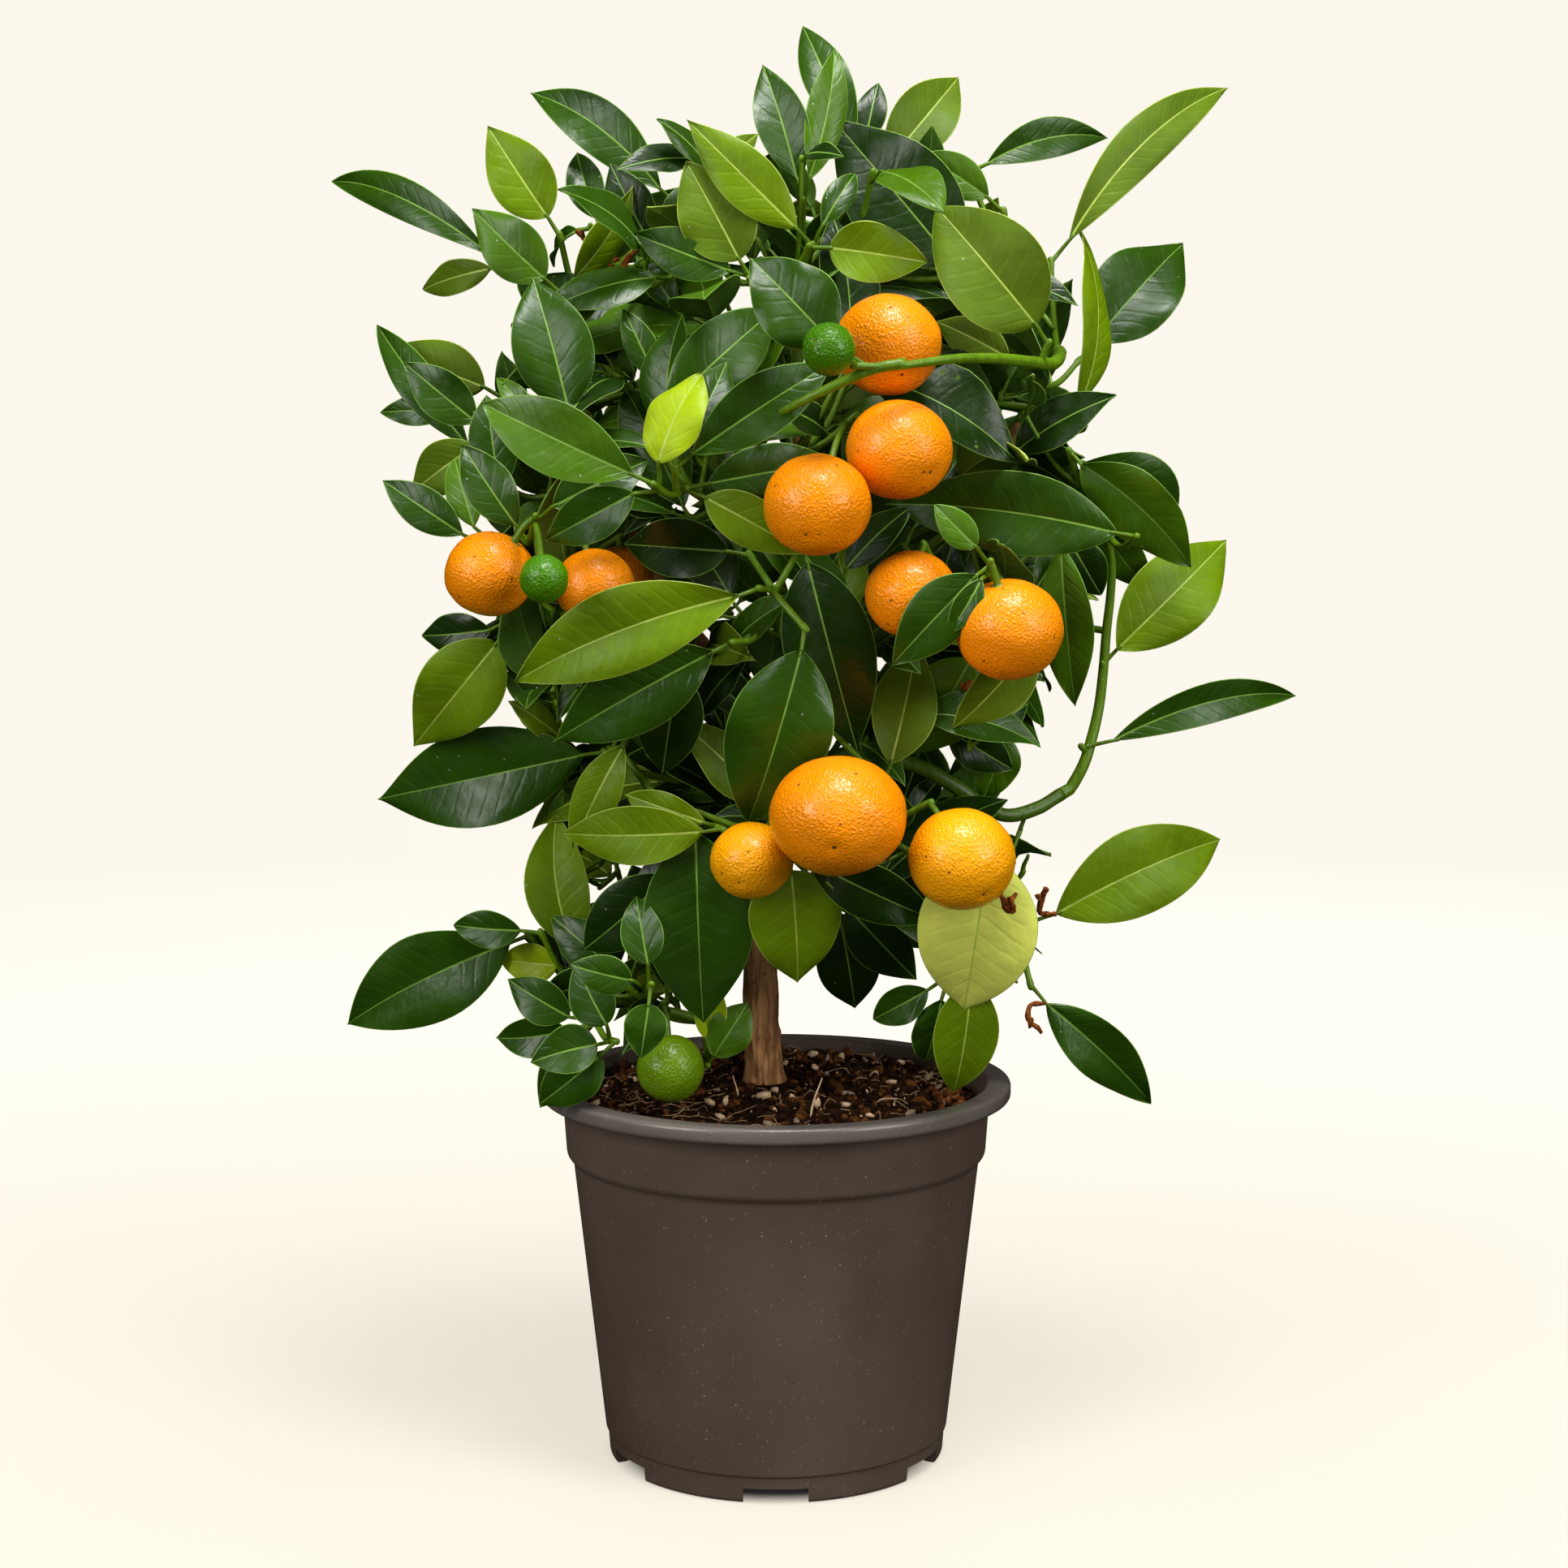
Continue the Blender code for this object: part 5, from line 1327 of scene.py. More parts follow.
def blade_mesh(blade, rows, strips, thickness, dice):
    """A blade's corners and places: folded at its midrib, waved at its margins and arched lengthwise."""
    t = np.linspace(0, 1, rows)
    share = 0.35 * t + 0.65 * (0.5 - 0.5 * np.cos(np.pi * t))
    length = blade.length * (1.0 if blade.plain else DROOP_STRETCH)
    roundness = min(1.0, max(0.0, (blade.width / blade.length - 0.35) / 0.5))
    rise = dice.uniform(*BLADE_RISE) - 0.38 * roundness
    fall = dice.uniform(*BLADE_FALL) - 0.1 * roundness
    widest = rise / (rise + fall)
    outline = share ** rise * (1 - share) ** fall / (widest ** rise * (1 - widest) ** fall)
    half = np.maximum(blade.width / 2 * outline, LEAST_HALF_WIDTH)[:, None]
    share = share[:, None]

    rib = np.minimum(RIB_WIDTH * (1 - 0.65 * share), half * 0.35)
    rim = np.minimum(HIGHLIGHT_RIM_WIDTH, half * 0.2)
    steps = np.arange(strips + 1) / strips
    right = np.concatenate([np.zeros_like(half), rib + (half - rim - rib) * steps, half], axis=1)
    across = np.concatenate([-right[:, :0:-1], right], axis=1)
    part = across / half
    side = np.sign(part) * 0.5

    fold = math.tan(math.radians(dice.uniform(*BLADE_FOLD)))
    curl = dice.uniform(*BLADE_CURL)
    waves, shift = dice.uniform(*BLADE_WAVES), dice.uniform(0, 1)
    wave = dice.uniform(*BLADE_WAVE) * blade.width
    height = half * (fold * np.abs(part) ** 1.2 - curl * part ** 4)
    height = height + wave * np.abs(part) ** 2.5 * np.sin(2 * np.pi * (waves * share + shift + side))
    height = height - RIB_SINK * np.exp(-(across / 0.6) ** 2)
    height = height + VEIN_HEIGHT * np.sin(2 * np.pi * (share * length / VEIN_SPACING - 1.5 * np.abs(part)))

    twist = np.radians(dice.uniform(*BLADE_TWIST)) * (share - 0.25)
    offset = across * np.cos(twist) - height * np.sin(twist)
    offset = offset + dice.uniform(*BLADE_SWAY) * length * share ** 2 - 4 * blade.bow * share * (1 - share)
    lift = across * np.sin(twist) + height * np.cos(twist)
    arch = np.radians(LEAF_DROOP + dice.uniform(*BLADE_DROOP)) * share
    along, normal = np.array(blade.along), np.array(blade.normal)
    cross = np.cross(along, normal)
    cosine, sine = np.cos(arch)[..., None], np.sin(arch)[..., None]
    middle = np.array(blade.base) + (along * cosine - normal * sine) * (length * share[..., None])
    up = normal * cosine + along * sine
    top = middle + cross * offset[..., None] + up * lift[..., None]

    depth = thickness + RIB_DEPTH * np.exp(-(across / 0.55) ** 2) * (1 - 0.85 * share)
    below = (top - up * np.minimum(depth, half)[..., None])[:, 1:-1]
    places = np.stack([share * length / VEIN_SPACING + shift * 7 + side * 0.9, np.abs(part)], axis=-1)
    corners = np.concatenate([top.reshape(-1, 3), below.reshape(-1, 3)])
    return corners, np.concatenate([places.reshape(-1, 2), places[:, 1:-1].reshape(-1, 2)])


def leaf_finishes(settings):
    """The finishes of all leaves, and which of them each tone uses on its four kinds of face."""
    names = ("deep", "dark", "mid", "bright", "lime", "pale", "olive")
    old = ("deep", "dark", "mid")
    roughness = {
        "deep": 0.34, "dark": 0.33, "mid": 0.36, "bright": 0.42, "lime": 0.45, "pale": 0.55, "olive": 0.55,
    }
    finishes = []
    for name in names:
        coat, shine = (0.12, 0.26) if name in old else (0.03, 0.14)
        vein_light = 0.05 if name == "pale" else 0.1
        colour = getattr(settings, name)
        finishes.append(leaf_finish(f"leaf_{name}", colour, roughness[name], vein_light, coat, shine))
    finishes.append(rib_finish("midrib", settings.rib))
    finishes.append(rib_finish("young_midrib", settings.young_rib))
    finishes.append(underside_finish("underside", settings.under))
    finishes.append(underside_finish("young_underside", settings.young_under))
    slots = {}
    for index, name in enumerate(names):
        young = 0 if name in old else 1
        slots[name] = np.array([index, len(names) + young, len(names) + young, len(names) + 2 + young])
    return finishes, slots


def in_open_place(blade):
    """Whether a plain blade's middle lies where the crown stays open."""
    middle = blade.base + blade.along * blade.length / 2
    return blade.plain and any((middle - Vector(centre)).length < reach for centre, reach in OPEN_PLACES)


def eased_open(blade):
    """The blade, turned about its own length if it stands edge-on to the plant's front and back."""
    facing = blade.normal.y
    if not blade.plain or abs(facing) > LEAST_FACING:
        return blade
    outward = math.copysign(1.0, blade.base.y)
    across = blade.along.cross(blade.normal)
    turn = math.copysign(math.radians(FACING_TURN), across.y * outward)
    return blade._replace(normal=Matrix.Rotation(turn, 3, blade.along) @ blade.normal)


def grow_leaves(scene):
    """Every leaf in its own outline, joined into one piece for each region of the crown."""
    settings = scene.calamondin_leaves
    by_name = {mass.name: mass for mass in crown(scene)[1]}
    finishes, slots = leaf_finishes(settings)
    for piece_name, names in LEAF_PIECES.items():
        pile = Pile()
        for name in names:
            dice = random.Random(name)
            for blade in by_name[name].blades:
                if in_open_place(blade):
                    continue
                rows, strips = SEEDED_NET if blade.plain else NAMED_NET
                thickness = settings.thickness / MM
                corners, places = blade_mesh(eased_open(blade), rows, strips, thickness, dice)
                loops, sizes, kinds = blade_net(rows, 2 * strips + 5)
                pile.add(corners, loops, sizes, slots[blade.tone][kinds], places)
        settle(pile.make(piece_name, finishes), names)


# Wood: steps along and sides round each kind of stem
TRUNK_STEP = 0.9
TRUNK_SIDES = 48
BOUGH_STEP = 1.6
BOUGH_SIDES = 20
STEM_STEP = 2.0
STEM_SIDES = 10
TWIG_MESH_STEP = 1.5
TWIG_SIDES = 8
LEAF_STALK_SIDES = 6
FOOT_SWELLING = 0.3
# The share of the trunk's relief on green boughs and on woody ones
BOUGH_RELIEF = (0.3, 0.75)


def round_tube(path, radii, sides):
    """A tube whose far end closes in a small dome."""
    along = (path[-1] - path[-2]).normalized()
    path = list(path) + [path[-1] + along * radii[-1] * share for share in (0.45, 0.75, 0.9)]
    radii = list(radii) + [radii[-1] * share for share in (0.85, 0.55, 0.2)]
    return tube_shape(path, radii, sides)


def bark_tube(path, radii, sides, relief, scar_height=None):
    """A limb with raised bark, and a ring scar at a height if it has one."""
    corners, faces = tube_shape(path, radii, sides)
    for index, corner in enumerate(corners):
        middle = path[index // sides]
        away = (corner - middle).normalized()
        ridge = noise.noise(Vector((corner.x * 0.55, corner.y * 0.55, corner.z * 0.10)))
        lump = noise.noise(corner * 0.11)
        grain = noise.noise(Vector((corner.x * 1.5, corner.y * 1.5, corner.z * 0.4)))
        rise = relief * (ridge * 1.1 + grain * 0.5 + lump * 1.4)
        if scar_height is not None:
            rise += 0.7 * math.exp(-((middle.z - scar_height) / 1.3) ** 2)
        corners[index] = corner + away * rise
    return corners, faces


def distances_along(path):
    """How far along the path each of its points lies."""
    distances = [0.0]
    for start, end in zip(path, path[1:]):
        distances.append(distances[-1] + (end - start).length)
    return distances


def resampled(path, radii, step):
    """A finer run of the same path and radii."""
    fine = smooth_path(path, step)
    lengths, reach = distances_along(path), distances_along(fine)
    return fine, np.interp(np.array(reach) * lengths[-1] / reach[-1], lengths, radii).tolist()


def sunk_start(name, path, radii, limbs):
    """The limb's path and radii with a start inside what carries it, where it widens to a collar."""
    parent, height = BOUGHS[name][:2]
    parent_path, parent_radii = limbs[parent]
    if height is None:
        first = parent_path[-1] - (parent_path[-1] - parent_path[-2]).normalized() * 5
        return [first] + path, [parent_radii[-1] * 0.98] + radii
    first = height_on_path(parent_path, height)
    collar = path[0] + (path[1] - path[0]).normalized() * radii[0] * 1.5
    return [first, path[0], collar] + path[1:], [radii[0] * 1.5, radii[0] * 1.35, radii[0]] + radii[1:]


def make_limbs(scene):
    """Trunk and boughs with the bark's relief, each joined to what carries it."""
    limbs, _ = crown(scene)
    settings = scene.calamondin_wood
    old_bark = bark_finish("old_bark", settings.bark, settings.furrow)
    green_bark = shoot_finish("green_bark", settings.old_shoot)
    relief = settings.relief / MM
    trunk = Pile()
    path, radii = resampled(*limbs["trunk"], TRUNK_STEP)
    trunk.add_shape(bark_tube(path, radii, TRUNK_SIDES, relief, TRUNK_SCAR_Z))
    settle(trunk.make("trunk_bark", [old_bark]), ("trunk",))
    for piece_name, woody, finish in (("old_boughs", True, old_bark), ("green_boughs", False, green_bark)):
        names = [name for name in BOUGHS if (name in WOODY_LIMBS) == woody]
        pile = Pile()
        for name in names:
            path, radii = resampled(*sunk_start(name, *limbs[name], limbs), BOUGH_STEP)
            pile.add_shape(bark_tube(path, radii, BOUGH_SIDES, relief * BOUGH_RELIEF[woody]))
        settle(pile.make(piece_name, [finish]), names)


def swollen(path, radii, feet):
    """The radii of a twig with a small swelling at each foot."""
    swellings = [sum(math.exp(-((point - foot).length / 1.1) ** 2) for foot in feet) for point in path]
    return [radius + FOOT_SWELLING * min(swelling, 1.0) for radius, swelling in zip(radii, swellings)]


def grow_twigs(scene):
    """Stems, twigs with swollen leaf feet, and the stalks of leaves and fruit."""
    shoot = scene.calamondin_wood.shoot
    finishes = [shoot_finish("shoot", shoot), shoot_finish("leaf_stalk", darker(shoot, 0.15))]
    pile = Pile()
    path = smooth_path(TRAILING_SHOOT, STEM_STEP)
    pile.add_shape(round_tube(path, tapered(path, *TRAILING_RADII), STEM_SIDES))
    for mass in crown(scene)[1]:
        first = mass.carrier_end * 0.98 if mass.on_tip else STEM_RADIUS * 1.2
        thickest = THICK_STEMS.get(mass.name, first)
        radii = [first] + tapered(mass.stem, thickest, TWIG_RADIUS)
        path, radii = resampled([mass.foot] + mass.stem, radii, STEM_STEP)
        pile.add_shape(round_tube(path, radii, STEM_SIDES))
        for twig in mass.twigs:
            path, radii = resampled(twig.path, tapered(twig.path, twig.first, twig.last), TWIG_MESH_STEP)
            pile.add_shape(round_tube(path, swollen(path, radii, twig.feet), TWIG_SIDES))
        for points in mass.stalks:
            path = smooth_path(points, TWIG_MESH_STEP)
            pile.add_shape(round_tube(path, tapered(path, *LEAF_STALK_RADII), LEAF_STALK_SIDES), 1)
        for foot, item in mass.fruit:
            top = item.centre + (foot - item.centre).normalized() * item.diameter * 0.4
            bow = (foot + top) / 2 + Vector((0, 0, 0.1 * (foot - top).length))
            path = smooth_path((foot, bow, top), TWIG_MESH_STEP)
            pile.add_shape(round_tube(path, tapered(path, *FRUIT_STALK_RADII), TWIG_SIDES), 1)
    settle(pile.make("twigs", finishes), list(FOLIAGE))


# Fruit
FRUIT_ROWS = 44
FRUIT_COLUMNS = 72
SCAR_REACH = 0.036
# Dents at the stalk and at the scar: depth as a share of the radius, and width in radians
STALK_DENT = (0.07, 0.2)
SCAR_DENT = (0.035, 0.09)
FRUIT_SWELLS = 9
FULL_TURN = 6.28
# The cap: steps round it, its lobes, and the height and radius of its two rings
CAP_SIDES = 20
CAP_LOBES = 5
CAP_RINGS = ((0.7, 1.5), (0.15, 2.6))


@lru_cache(maxsize=1)
def fruit_net():
    """The faces of a round fruit with a corner at each pole."""
    grid = 1 + np.arange(FRUIT_ROWS * FRUIT_COLUMNS).reshape(FRUIT_ROWS, FRUIT_COLUMNS)
    ahead = np.roll(grid, -1, axis=1)
    quads = np.stack([grid[:-1], grid[1:], ahead[1:], ahead[:-1]], axis=-1).reshape(-1, 4)
    last = 1 + FRUIT_ROWS * FRUIT_COLUMNS
    top = np.stack([np.zeros(FRUIT_COLUMNS, int), grid[0], ahead[0]], axis=-1)
    foot = np.stack([grid[-1], np.full(FRUIT_COLUMNS, last), ahead[-1]], axis=-1)
    loops = np.concatenate([quads.ravel(), top.ravel(), foot.ravel()])
    sizes = np.concatenate([np.full(len(quads), 4), np.full(2 * FRUIT_COLUMNS, 3)])
    return loops, sizes


def fruit_mesh(foot, item, dice):
    """A fruit's corners: dented at its stalk and at the scar across from it, and slightly uneven."""
    polar = np.linspace(0, np.pi, FRUIT_ROWS + 2)[1:-1]
    polar[-1] = np.pi - SCAR_REACH
    turn = np.linspace(0, 2 * np.pi, FRUIT_COLUMNS, endpoint=False)
    polar, turn = np.meshgrid(polar, turn, indexing="ij")
    ways = np.stack([np.sin(polar) * np.cos(turn), np.sin(polar) * np.sin(turn), np.cos(polar)], axis=-1)
    ways = np.concatenate([[[0, 0, 1]], ways.reshape(-1, 3), [[0, 0, -1]]])
    polar = np.arccos(np.clip(ways[:, 2], -1, 1))
    reach = 1 - STALK_DENT[0] * np.exp(-(polar / STALK_DENT[1]) ** 2)
    reach = reach - SCAR_DENT[0] * np.exp(-((np.pi - polar) / SCAR_DENT[1]) ** 2)
    for _ in range(FRUIT_SWELLS):
        way = np.array(random_way(dice))
        pitch = dice.uniform(2, 9)
        reach = reach + 0.012 / pitch * np.sin(pitch * (ways @ way) * 2 + dice.uniform(0, FULL_TURN))
    axis = (foot - item.centre).normalized()
    upright = axis.rotation_difference(Vector((0, 0, 1))).to_matrix().inverted()
    places = (ways * reach[:, None]) @ np.array(upright).T * item.diameter / 2
    places[:, 2] *= item.height
    return places + np.array(item.centre)


def calyx_shape(foot, item):
    """The lobed green cap where the stalk meets the fruit."""
    axis = (foot - item.centre).normalized()
    side = axis.orthogonal().normalized()
    across = axis.cross(side)
    seat = item.centre + axis * item.diameter * 0.45 * (1 - (1 - item.height) * abs(axis.z))
    corners = [seat + axis * 1.4, seat - axis * 1.2]
    for level, radius in CAP_RINGS:
        for angle in angles_round(CAP_SIDES):
            reach = radius * (1 + 0.28 * math.cos(CAP_LOBES * angle))
            corners.append(seat + axis * level + (side * math.cos(angle) + across * math.sin(angle)) * reach)
    faces = []
    for turn in range(CAP_SIDES):
        here, after = 2 + turn, 2 + (turn + 1) % CAP_SIDES
        faces.append((0, here, after))
        faces.append((here, CAP_SIDES + here, CAP_SIDES + after, after))
        faces.append((CAP_SIDES + here, 1, CAP_SIDES + after))
    return corners, faces


def grow_fruit(scene):
    """Every fruit with its dimpled peel, and their green caps."""
    settings = scene.calamondin_fruit
    finishes = [
        peel_finish("peel_ripe", settings.ripe, darker(settings.ripe, 0.12), settings.blemish),
        peel_finish("peel_yellow", settings.yellow, darker(settings.yellow, 0.12), settings.blemish),
        peel_finish("peel_green", settings.green, darker(settings.green, 0.25), darker(settings.green, 0.4)),
        peel_finish("peel_lime", settings.lime, darker(settings.lime, 0.2), darker(settings.lime, 0.4)),
    ]
    scar = dried_finish("blossom_scar", settings.blemish)
    order = ("ripe", "yellow", "green", "lime")
    dice = random.Random(SEED)
    loops, sizes = fruit_net()
    ripe, unripe, caps = Pile(), Pile(), Pile()
    owners = {True: [], False: []}
    for mass in crown(scene)[1]:
        for foot, item in mass.fruit:
            is_ripe = item.ripeness in order[:2]
            pile = ripe if is_ripe else unripe
            slots = np.full(len(sizes), order.index(item.ripeness) % 2)
            slots[-FRUIT_COLUMNS:] = 2
            pile.add(fruit_mesh(foot, item, dice), loops, sizes, slots)
            caps.add_shape(calyx_shape(foot, item))
            owners[is_ripe].append(mass.name)
    settle(ripe.make("ripe_fruit", finishes[:2] + [scar]), sorted(set(owners[True])))
    settle(unripe.make("unripe_fruit", finishes[2:] + [scar]), sorted(set(owners[False])))
    settle(caps.make("fruit_caps", [shoot_finish("calyx", settings.cap)]), ())


def grow_dried_stalks(scene):
    """Stalk ends from which fruit and flowers have fallen, shrivelled and brown."""
    dice = random.Random(SEED + 5)
    pile = Pile()
    joints = [blade.base for mass in crown(scene)[1] for blade in mass.blades]
    for place, way, length in DRIED_STALKS:
        foot, way = Vector(place), Vector(way).normalized()
        tip = foot + way * length
        bend = way.orthogonal().normalized() * length * 0.12
        joint = min(joints, key=lambda point: (point - foot).length)
        path = smooth_path((joint, joint.lerp(foot, 0.7), foot.lerp(tip, 0.5) + bend, tip), 0.8)
        pile.add_shape(bark_tube(path, tapered(path, 0.75, 1.0), 8, 0.5))
        for _ in range(4):
            start = foot.lerp(tip, dice.uniform(0.45, 1.0))
            out = (random_way(dice) + way * 0.5).normalized()
            path = smooth_path((start, start + out * 1.4, start + (out + way * 0.4) * 2.3), 0.5)
            pile.add_shape(bark_tube(path, tapered(path, 0.8, 0.55), 7, 0.35))
    finish = dried_finish("dried_stalk", scene.calamondin_wood.dried)
    settle(pile.make("dried_stalks", [finish]), ())


# Pot
def rounded(profile, radius, steps=4):
    """The profile with each inner corner turned into an arc of up to this radius."""
    points = [Vector(point) for point in profile]
    out = [tuple(points[0])]
    for before, corner, after in zip(points, points[1:], points[2:]):
        reach = min(radius, (before - corner).length * 0.45, (after - corner).length * 0.45)
        start = corner + (before - corner).normalized() * reach
        end = corner + (after - corner).normalized() * reach
        for step in range(steps + 1):
            t = step / steps
            out.append(tuple(start * (1 - t) ** 2 + corner * 2 * t * (1 - t) + end * t ** 2))
    out.append(tuple(points[-1]))
    return out


def turned(name, profile, sides):
    """A solid of revolution from its profile, top to bottom on the outer side."""
    mesh = bpy.data.meshes.new(name)
    edges = [(index, index + 1) for index in range(len(profile) - 1)]
    mesh.from_pydata([(radius * MM, 0, height * MM) for radius, height in profile], edges, [])
    obj = new_object(name, mesh)
    screw = obj.modifiers.new("Screw", "SCREW")
    screw.steps = screw.render_steps = sides
    screw.use_merge_vertices = True
    screw.merge_threshold = 1e-6
    return obj


def bake_modifiers(obj):
    """Swaps the object's mesh for what its modifiers make of it."""
    depsgraph = bpy.context.evaluated_depsgraph_get()
    mesh = bpy.data.meshes.new_from_object(obj.evaluated_get(depsgraph))
    obj.modifiers.clear()
    obj.data = mesh


def pot_profile():
    """The pot's section, closed: down its outer side, across its base and up its inner side."""
    lip_foot = POT_HEIGHT - LIP_HEIGHT
    ring = FOOT_RADIUS - FOOT_RING_WIDTH
    floor = BASE_RAISE + BASE_THICKNESS
    outside = rounded(
        [
            (COLLAR_TOP_RADIUS + 1.2, POT_HEIGHT), (LIP_RADIUS, POT_HEIGHT), (LIP_RADIUS, lip_foot),
            (COLLAR_TOP_RADIUS + 0.4, lip_foot), (COLLAR_TOP_RADIUS, lip_foot - 1.2),
            (COLLAR_FOOT_RADIUS, COLLAR_FOOT_Z), (BODY_TOP_RADIUS, BODY_TOP_Z),
            (BODY_FOOT_RADIUS, FOOT_BAND_Z + 0.6), (FOOT_BAND_RADIUS, FOOT_BAND_Z),
            (FOOT_RADIUS, 0.0), (ring, 0.0),
        ],
        1.5,
    )
    base = [
        (ring - 1.0, BASE_RAISE),
        (BASE_DISC_RADIUS + 3.0, BASE_RAISE),
        (BASE_DISC_RADIUS, 0.0),
        (0.0, 0.0),
        (0.0, BASE_THICKNESS),
        (BASE_DISC_RADIUS - 1.5, BASE_THICKNESS),
        (BASE_DISC_RADIUS + 1.5, floor),
        (BODY_FOOT_RADIUS - WALL, floor),
    ]
    inside = rounded(
        [
            base[-1],
            (BODY_TOP_RADIUS - WALL, BODY_TOP_Z),
            (COLLAR_FOOT_RADIUS - WALL, COLLAR_FOOT_Z),
            (COLLAR_TOP_RADIUS - WALL, lip_foot),
            (COLLAR_TOP_RADIUS - 0.8, POT_HEIGHT - 0.2),
            (COLLAR_TOP_RADIUS + 1.2, POT_HEIGHT),
        ],
        1.0,
    )
    return outside + base + inside[1:]


def add_cutter(name, shape, place, angle, cutters):
    mesh = bpy.data.meshes.new(name)
    shape.to_mesh(mesh)
    shape.free()
    cutter = bpy.data.objects.new(name, mesh)
    cutter.location = place * MM
    cutter.rotation_euler = (0, 0, angle)
    cutters.objects.link(cutter)


def cut_pot(pot):
    """Cuts the notches of the foot ring and the drain holes."""
    cutters = bpy.data.collections.new("pot_cutters")
    bpy.context.scene.collection.children.link(cutters)
    reach = (FOOT_RADIUS - FOOT_RING_WIDTH - 3.0, FOOT_RADIUS + 4.0)
    for index in range(NOTCH_COUNT):
        angle = math.radians(-90 + 360 * index / NOTCH_COUNT)
        direction = Vector((math.cos(angle), math.sin(angle), 0))
        notch = bmesh.new()
        bmesh.ops.create_cube(notch, size=1.0)
        size = ((reach[1] - reach[0]) * MM, NOTCH_WIDTH * MM, 2 * NOTCH_HEIGHT * MM)
        bmesh.ops.scale(notch, verts=notch.verts, vec=size)
        add_cutter(f"notch_cutter_{index}", notch, direction * (reach[0] + reach[1]) / 2, angle, cutters)
        hole = bmesh.new()
        bmesh.ops.create_cone(
            hole, cap_ends=True, segments=32, depth=20 * MM,
            radius1=DRAIN_HOLE_RADIUS * MM, radius2=DRAIN_HOLE_RADIUS * MM,
        )
        place = direction * DRAIN_HOLE_PLACE + Vector((0, 0, BASE_RAISE))
        add_cutter(f"drain_cutter_{index}", hole, place, angle, cutters)
    cut = pot.modifiers.new("Notches and drain holes", "BOOLEAN")
    cut.operation = "DIFFERENCE"
    cut.operand_type = "COLLECTION"
    cut.collection = cutters
    cut.solver = "EXACT"
    bpy.context.view_layer.update()
    bake_modifiers(pot)
    for cutter in list(cutters.objects):
        bpy.data.objects.remove(cutter, do_unlink=True)
    bpy.data.collections.remove(cutters)


def make_pot(scene):
    """The pot with its rolled lip, collar, tapering body and notched foot."""
    settings = scene.calamondin_pot
    pot = turned("pot_shell", pot_profile(), settings.sides)
    bake_modifiers(pot)
    cut_pot(pot)
    pot.data.materials.clear()
    body = plastic_finish("pot_plastic", settings.plastic, settings.speck, roughness=0.5, coat=0.0)
    # The lip's lighter, greyer colour is a painted sheen over its real coat
    lip = plastic_finish("pot_lip", settings.lip, settings.speck, roughness=0.3, coat=0.5)
    pot.data.materials.append(body)
    pot.data.materials.append(lip)
    lip_foot = POT_HEIGHT - LIP_HEIGHT - 0.3
    for face in pot.data.polygons:
        place = face.center / MM
        face.material_index = int(place.z > lip_foot and place.xy.length > COLLAR_TOP_RADIUS)
    pot.data.shade_smooth()
    pot.data.set_sharp_from_angle(angle=math.radians(32))
    settle(pot, ("pot",))


# Soil: its rise behind, the mound's steps round and outward, and where what lies on it may be
SOIL_BACK_RISE = 5.0
MOUND_SIDES = 220
MOUND_RINGS = 84
SCATTER_REACH = 63.0
LITTER_EDGE = 62.0
TRUNK_CLEAR = 10.0
ROOT_CLEAR = 14.0
ROOT_STEP = 2.6
ROOT_STEPS = 6
ROOT_RADII = (0.2, 0.1)
STRAW_RADII = (0.4, 0.22)
# Reddish clods by the right wall, and pale straws that stand in the soil
RUST_LUMPS = 40
RUST_PLACE = (57.0, 2.0)
STRAWS = (
    ((-12.6, -16.8, 113), (-12.0, -17, 119), (-13.6, -17, 125)),
    ((10.2, -35.2, 112), (11.4, -35, 120), (14.2, -35, 128)),
    ((31.0, -12.0, 113), (33.0, -15, 117), (38.0, -18, 118)),
)
# The litter's finishes, in the order of their slots
WOOD_CHIP, BARK_CHIP, DRY_ROOT, RUST_CLOD = range(4)


def soil_height(x, y):
    """The mound's height at a place, with its clods and hollows."""
    radius = math.hypot(x, y)
    edge = COLLAR_FOOT_RADIUS - WALL - CLEARANCE * 2
    share = min(1.0, max(0.0, (radius - SOIL_FLAT_RADIUS) / (edge - SOIL_FLAT_RADIUS)))
    plain = SOIL_TOP_Z + (SOIL_EDGE_Z - SOIL_TOP_Z) * share ** 1.15
    clods = noise.fractal(Vector((x * 0.09, y * 0.09, 0.3)), 0.9, 2.1, 4)
    fine = noise.noise(Vector((x * 0.55, y * 0.55, 7.0)))
    behind = min(1.0, max(0.0, (y + 10) / 60))
    return plain - 0.6 + 1.5 * clods + 0.5 * fine + SOIL_BACK_RISE * behind * behind * (3 - 2 * behind)


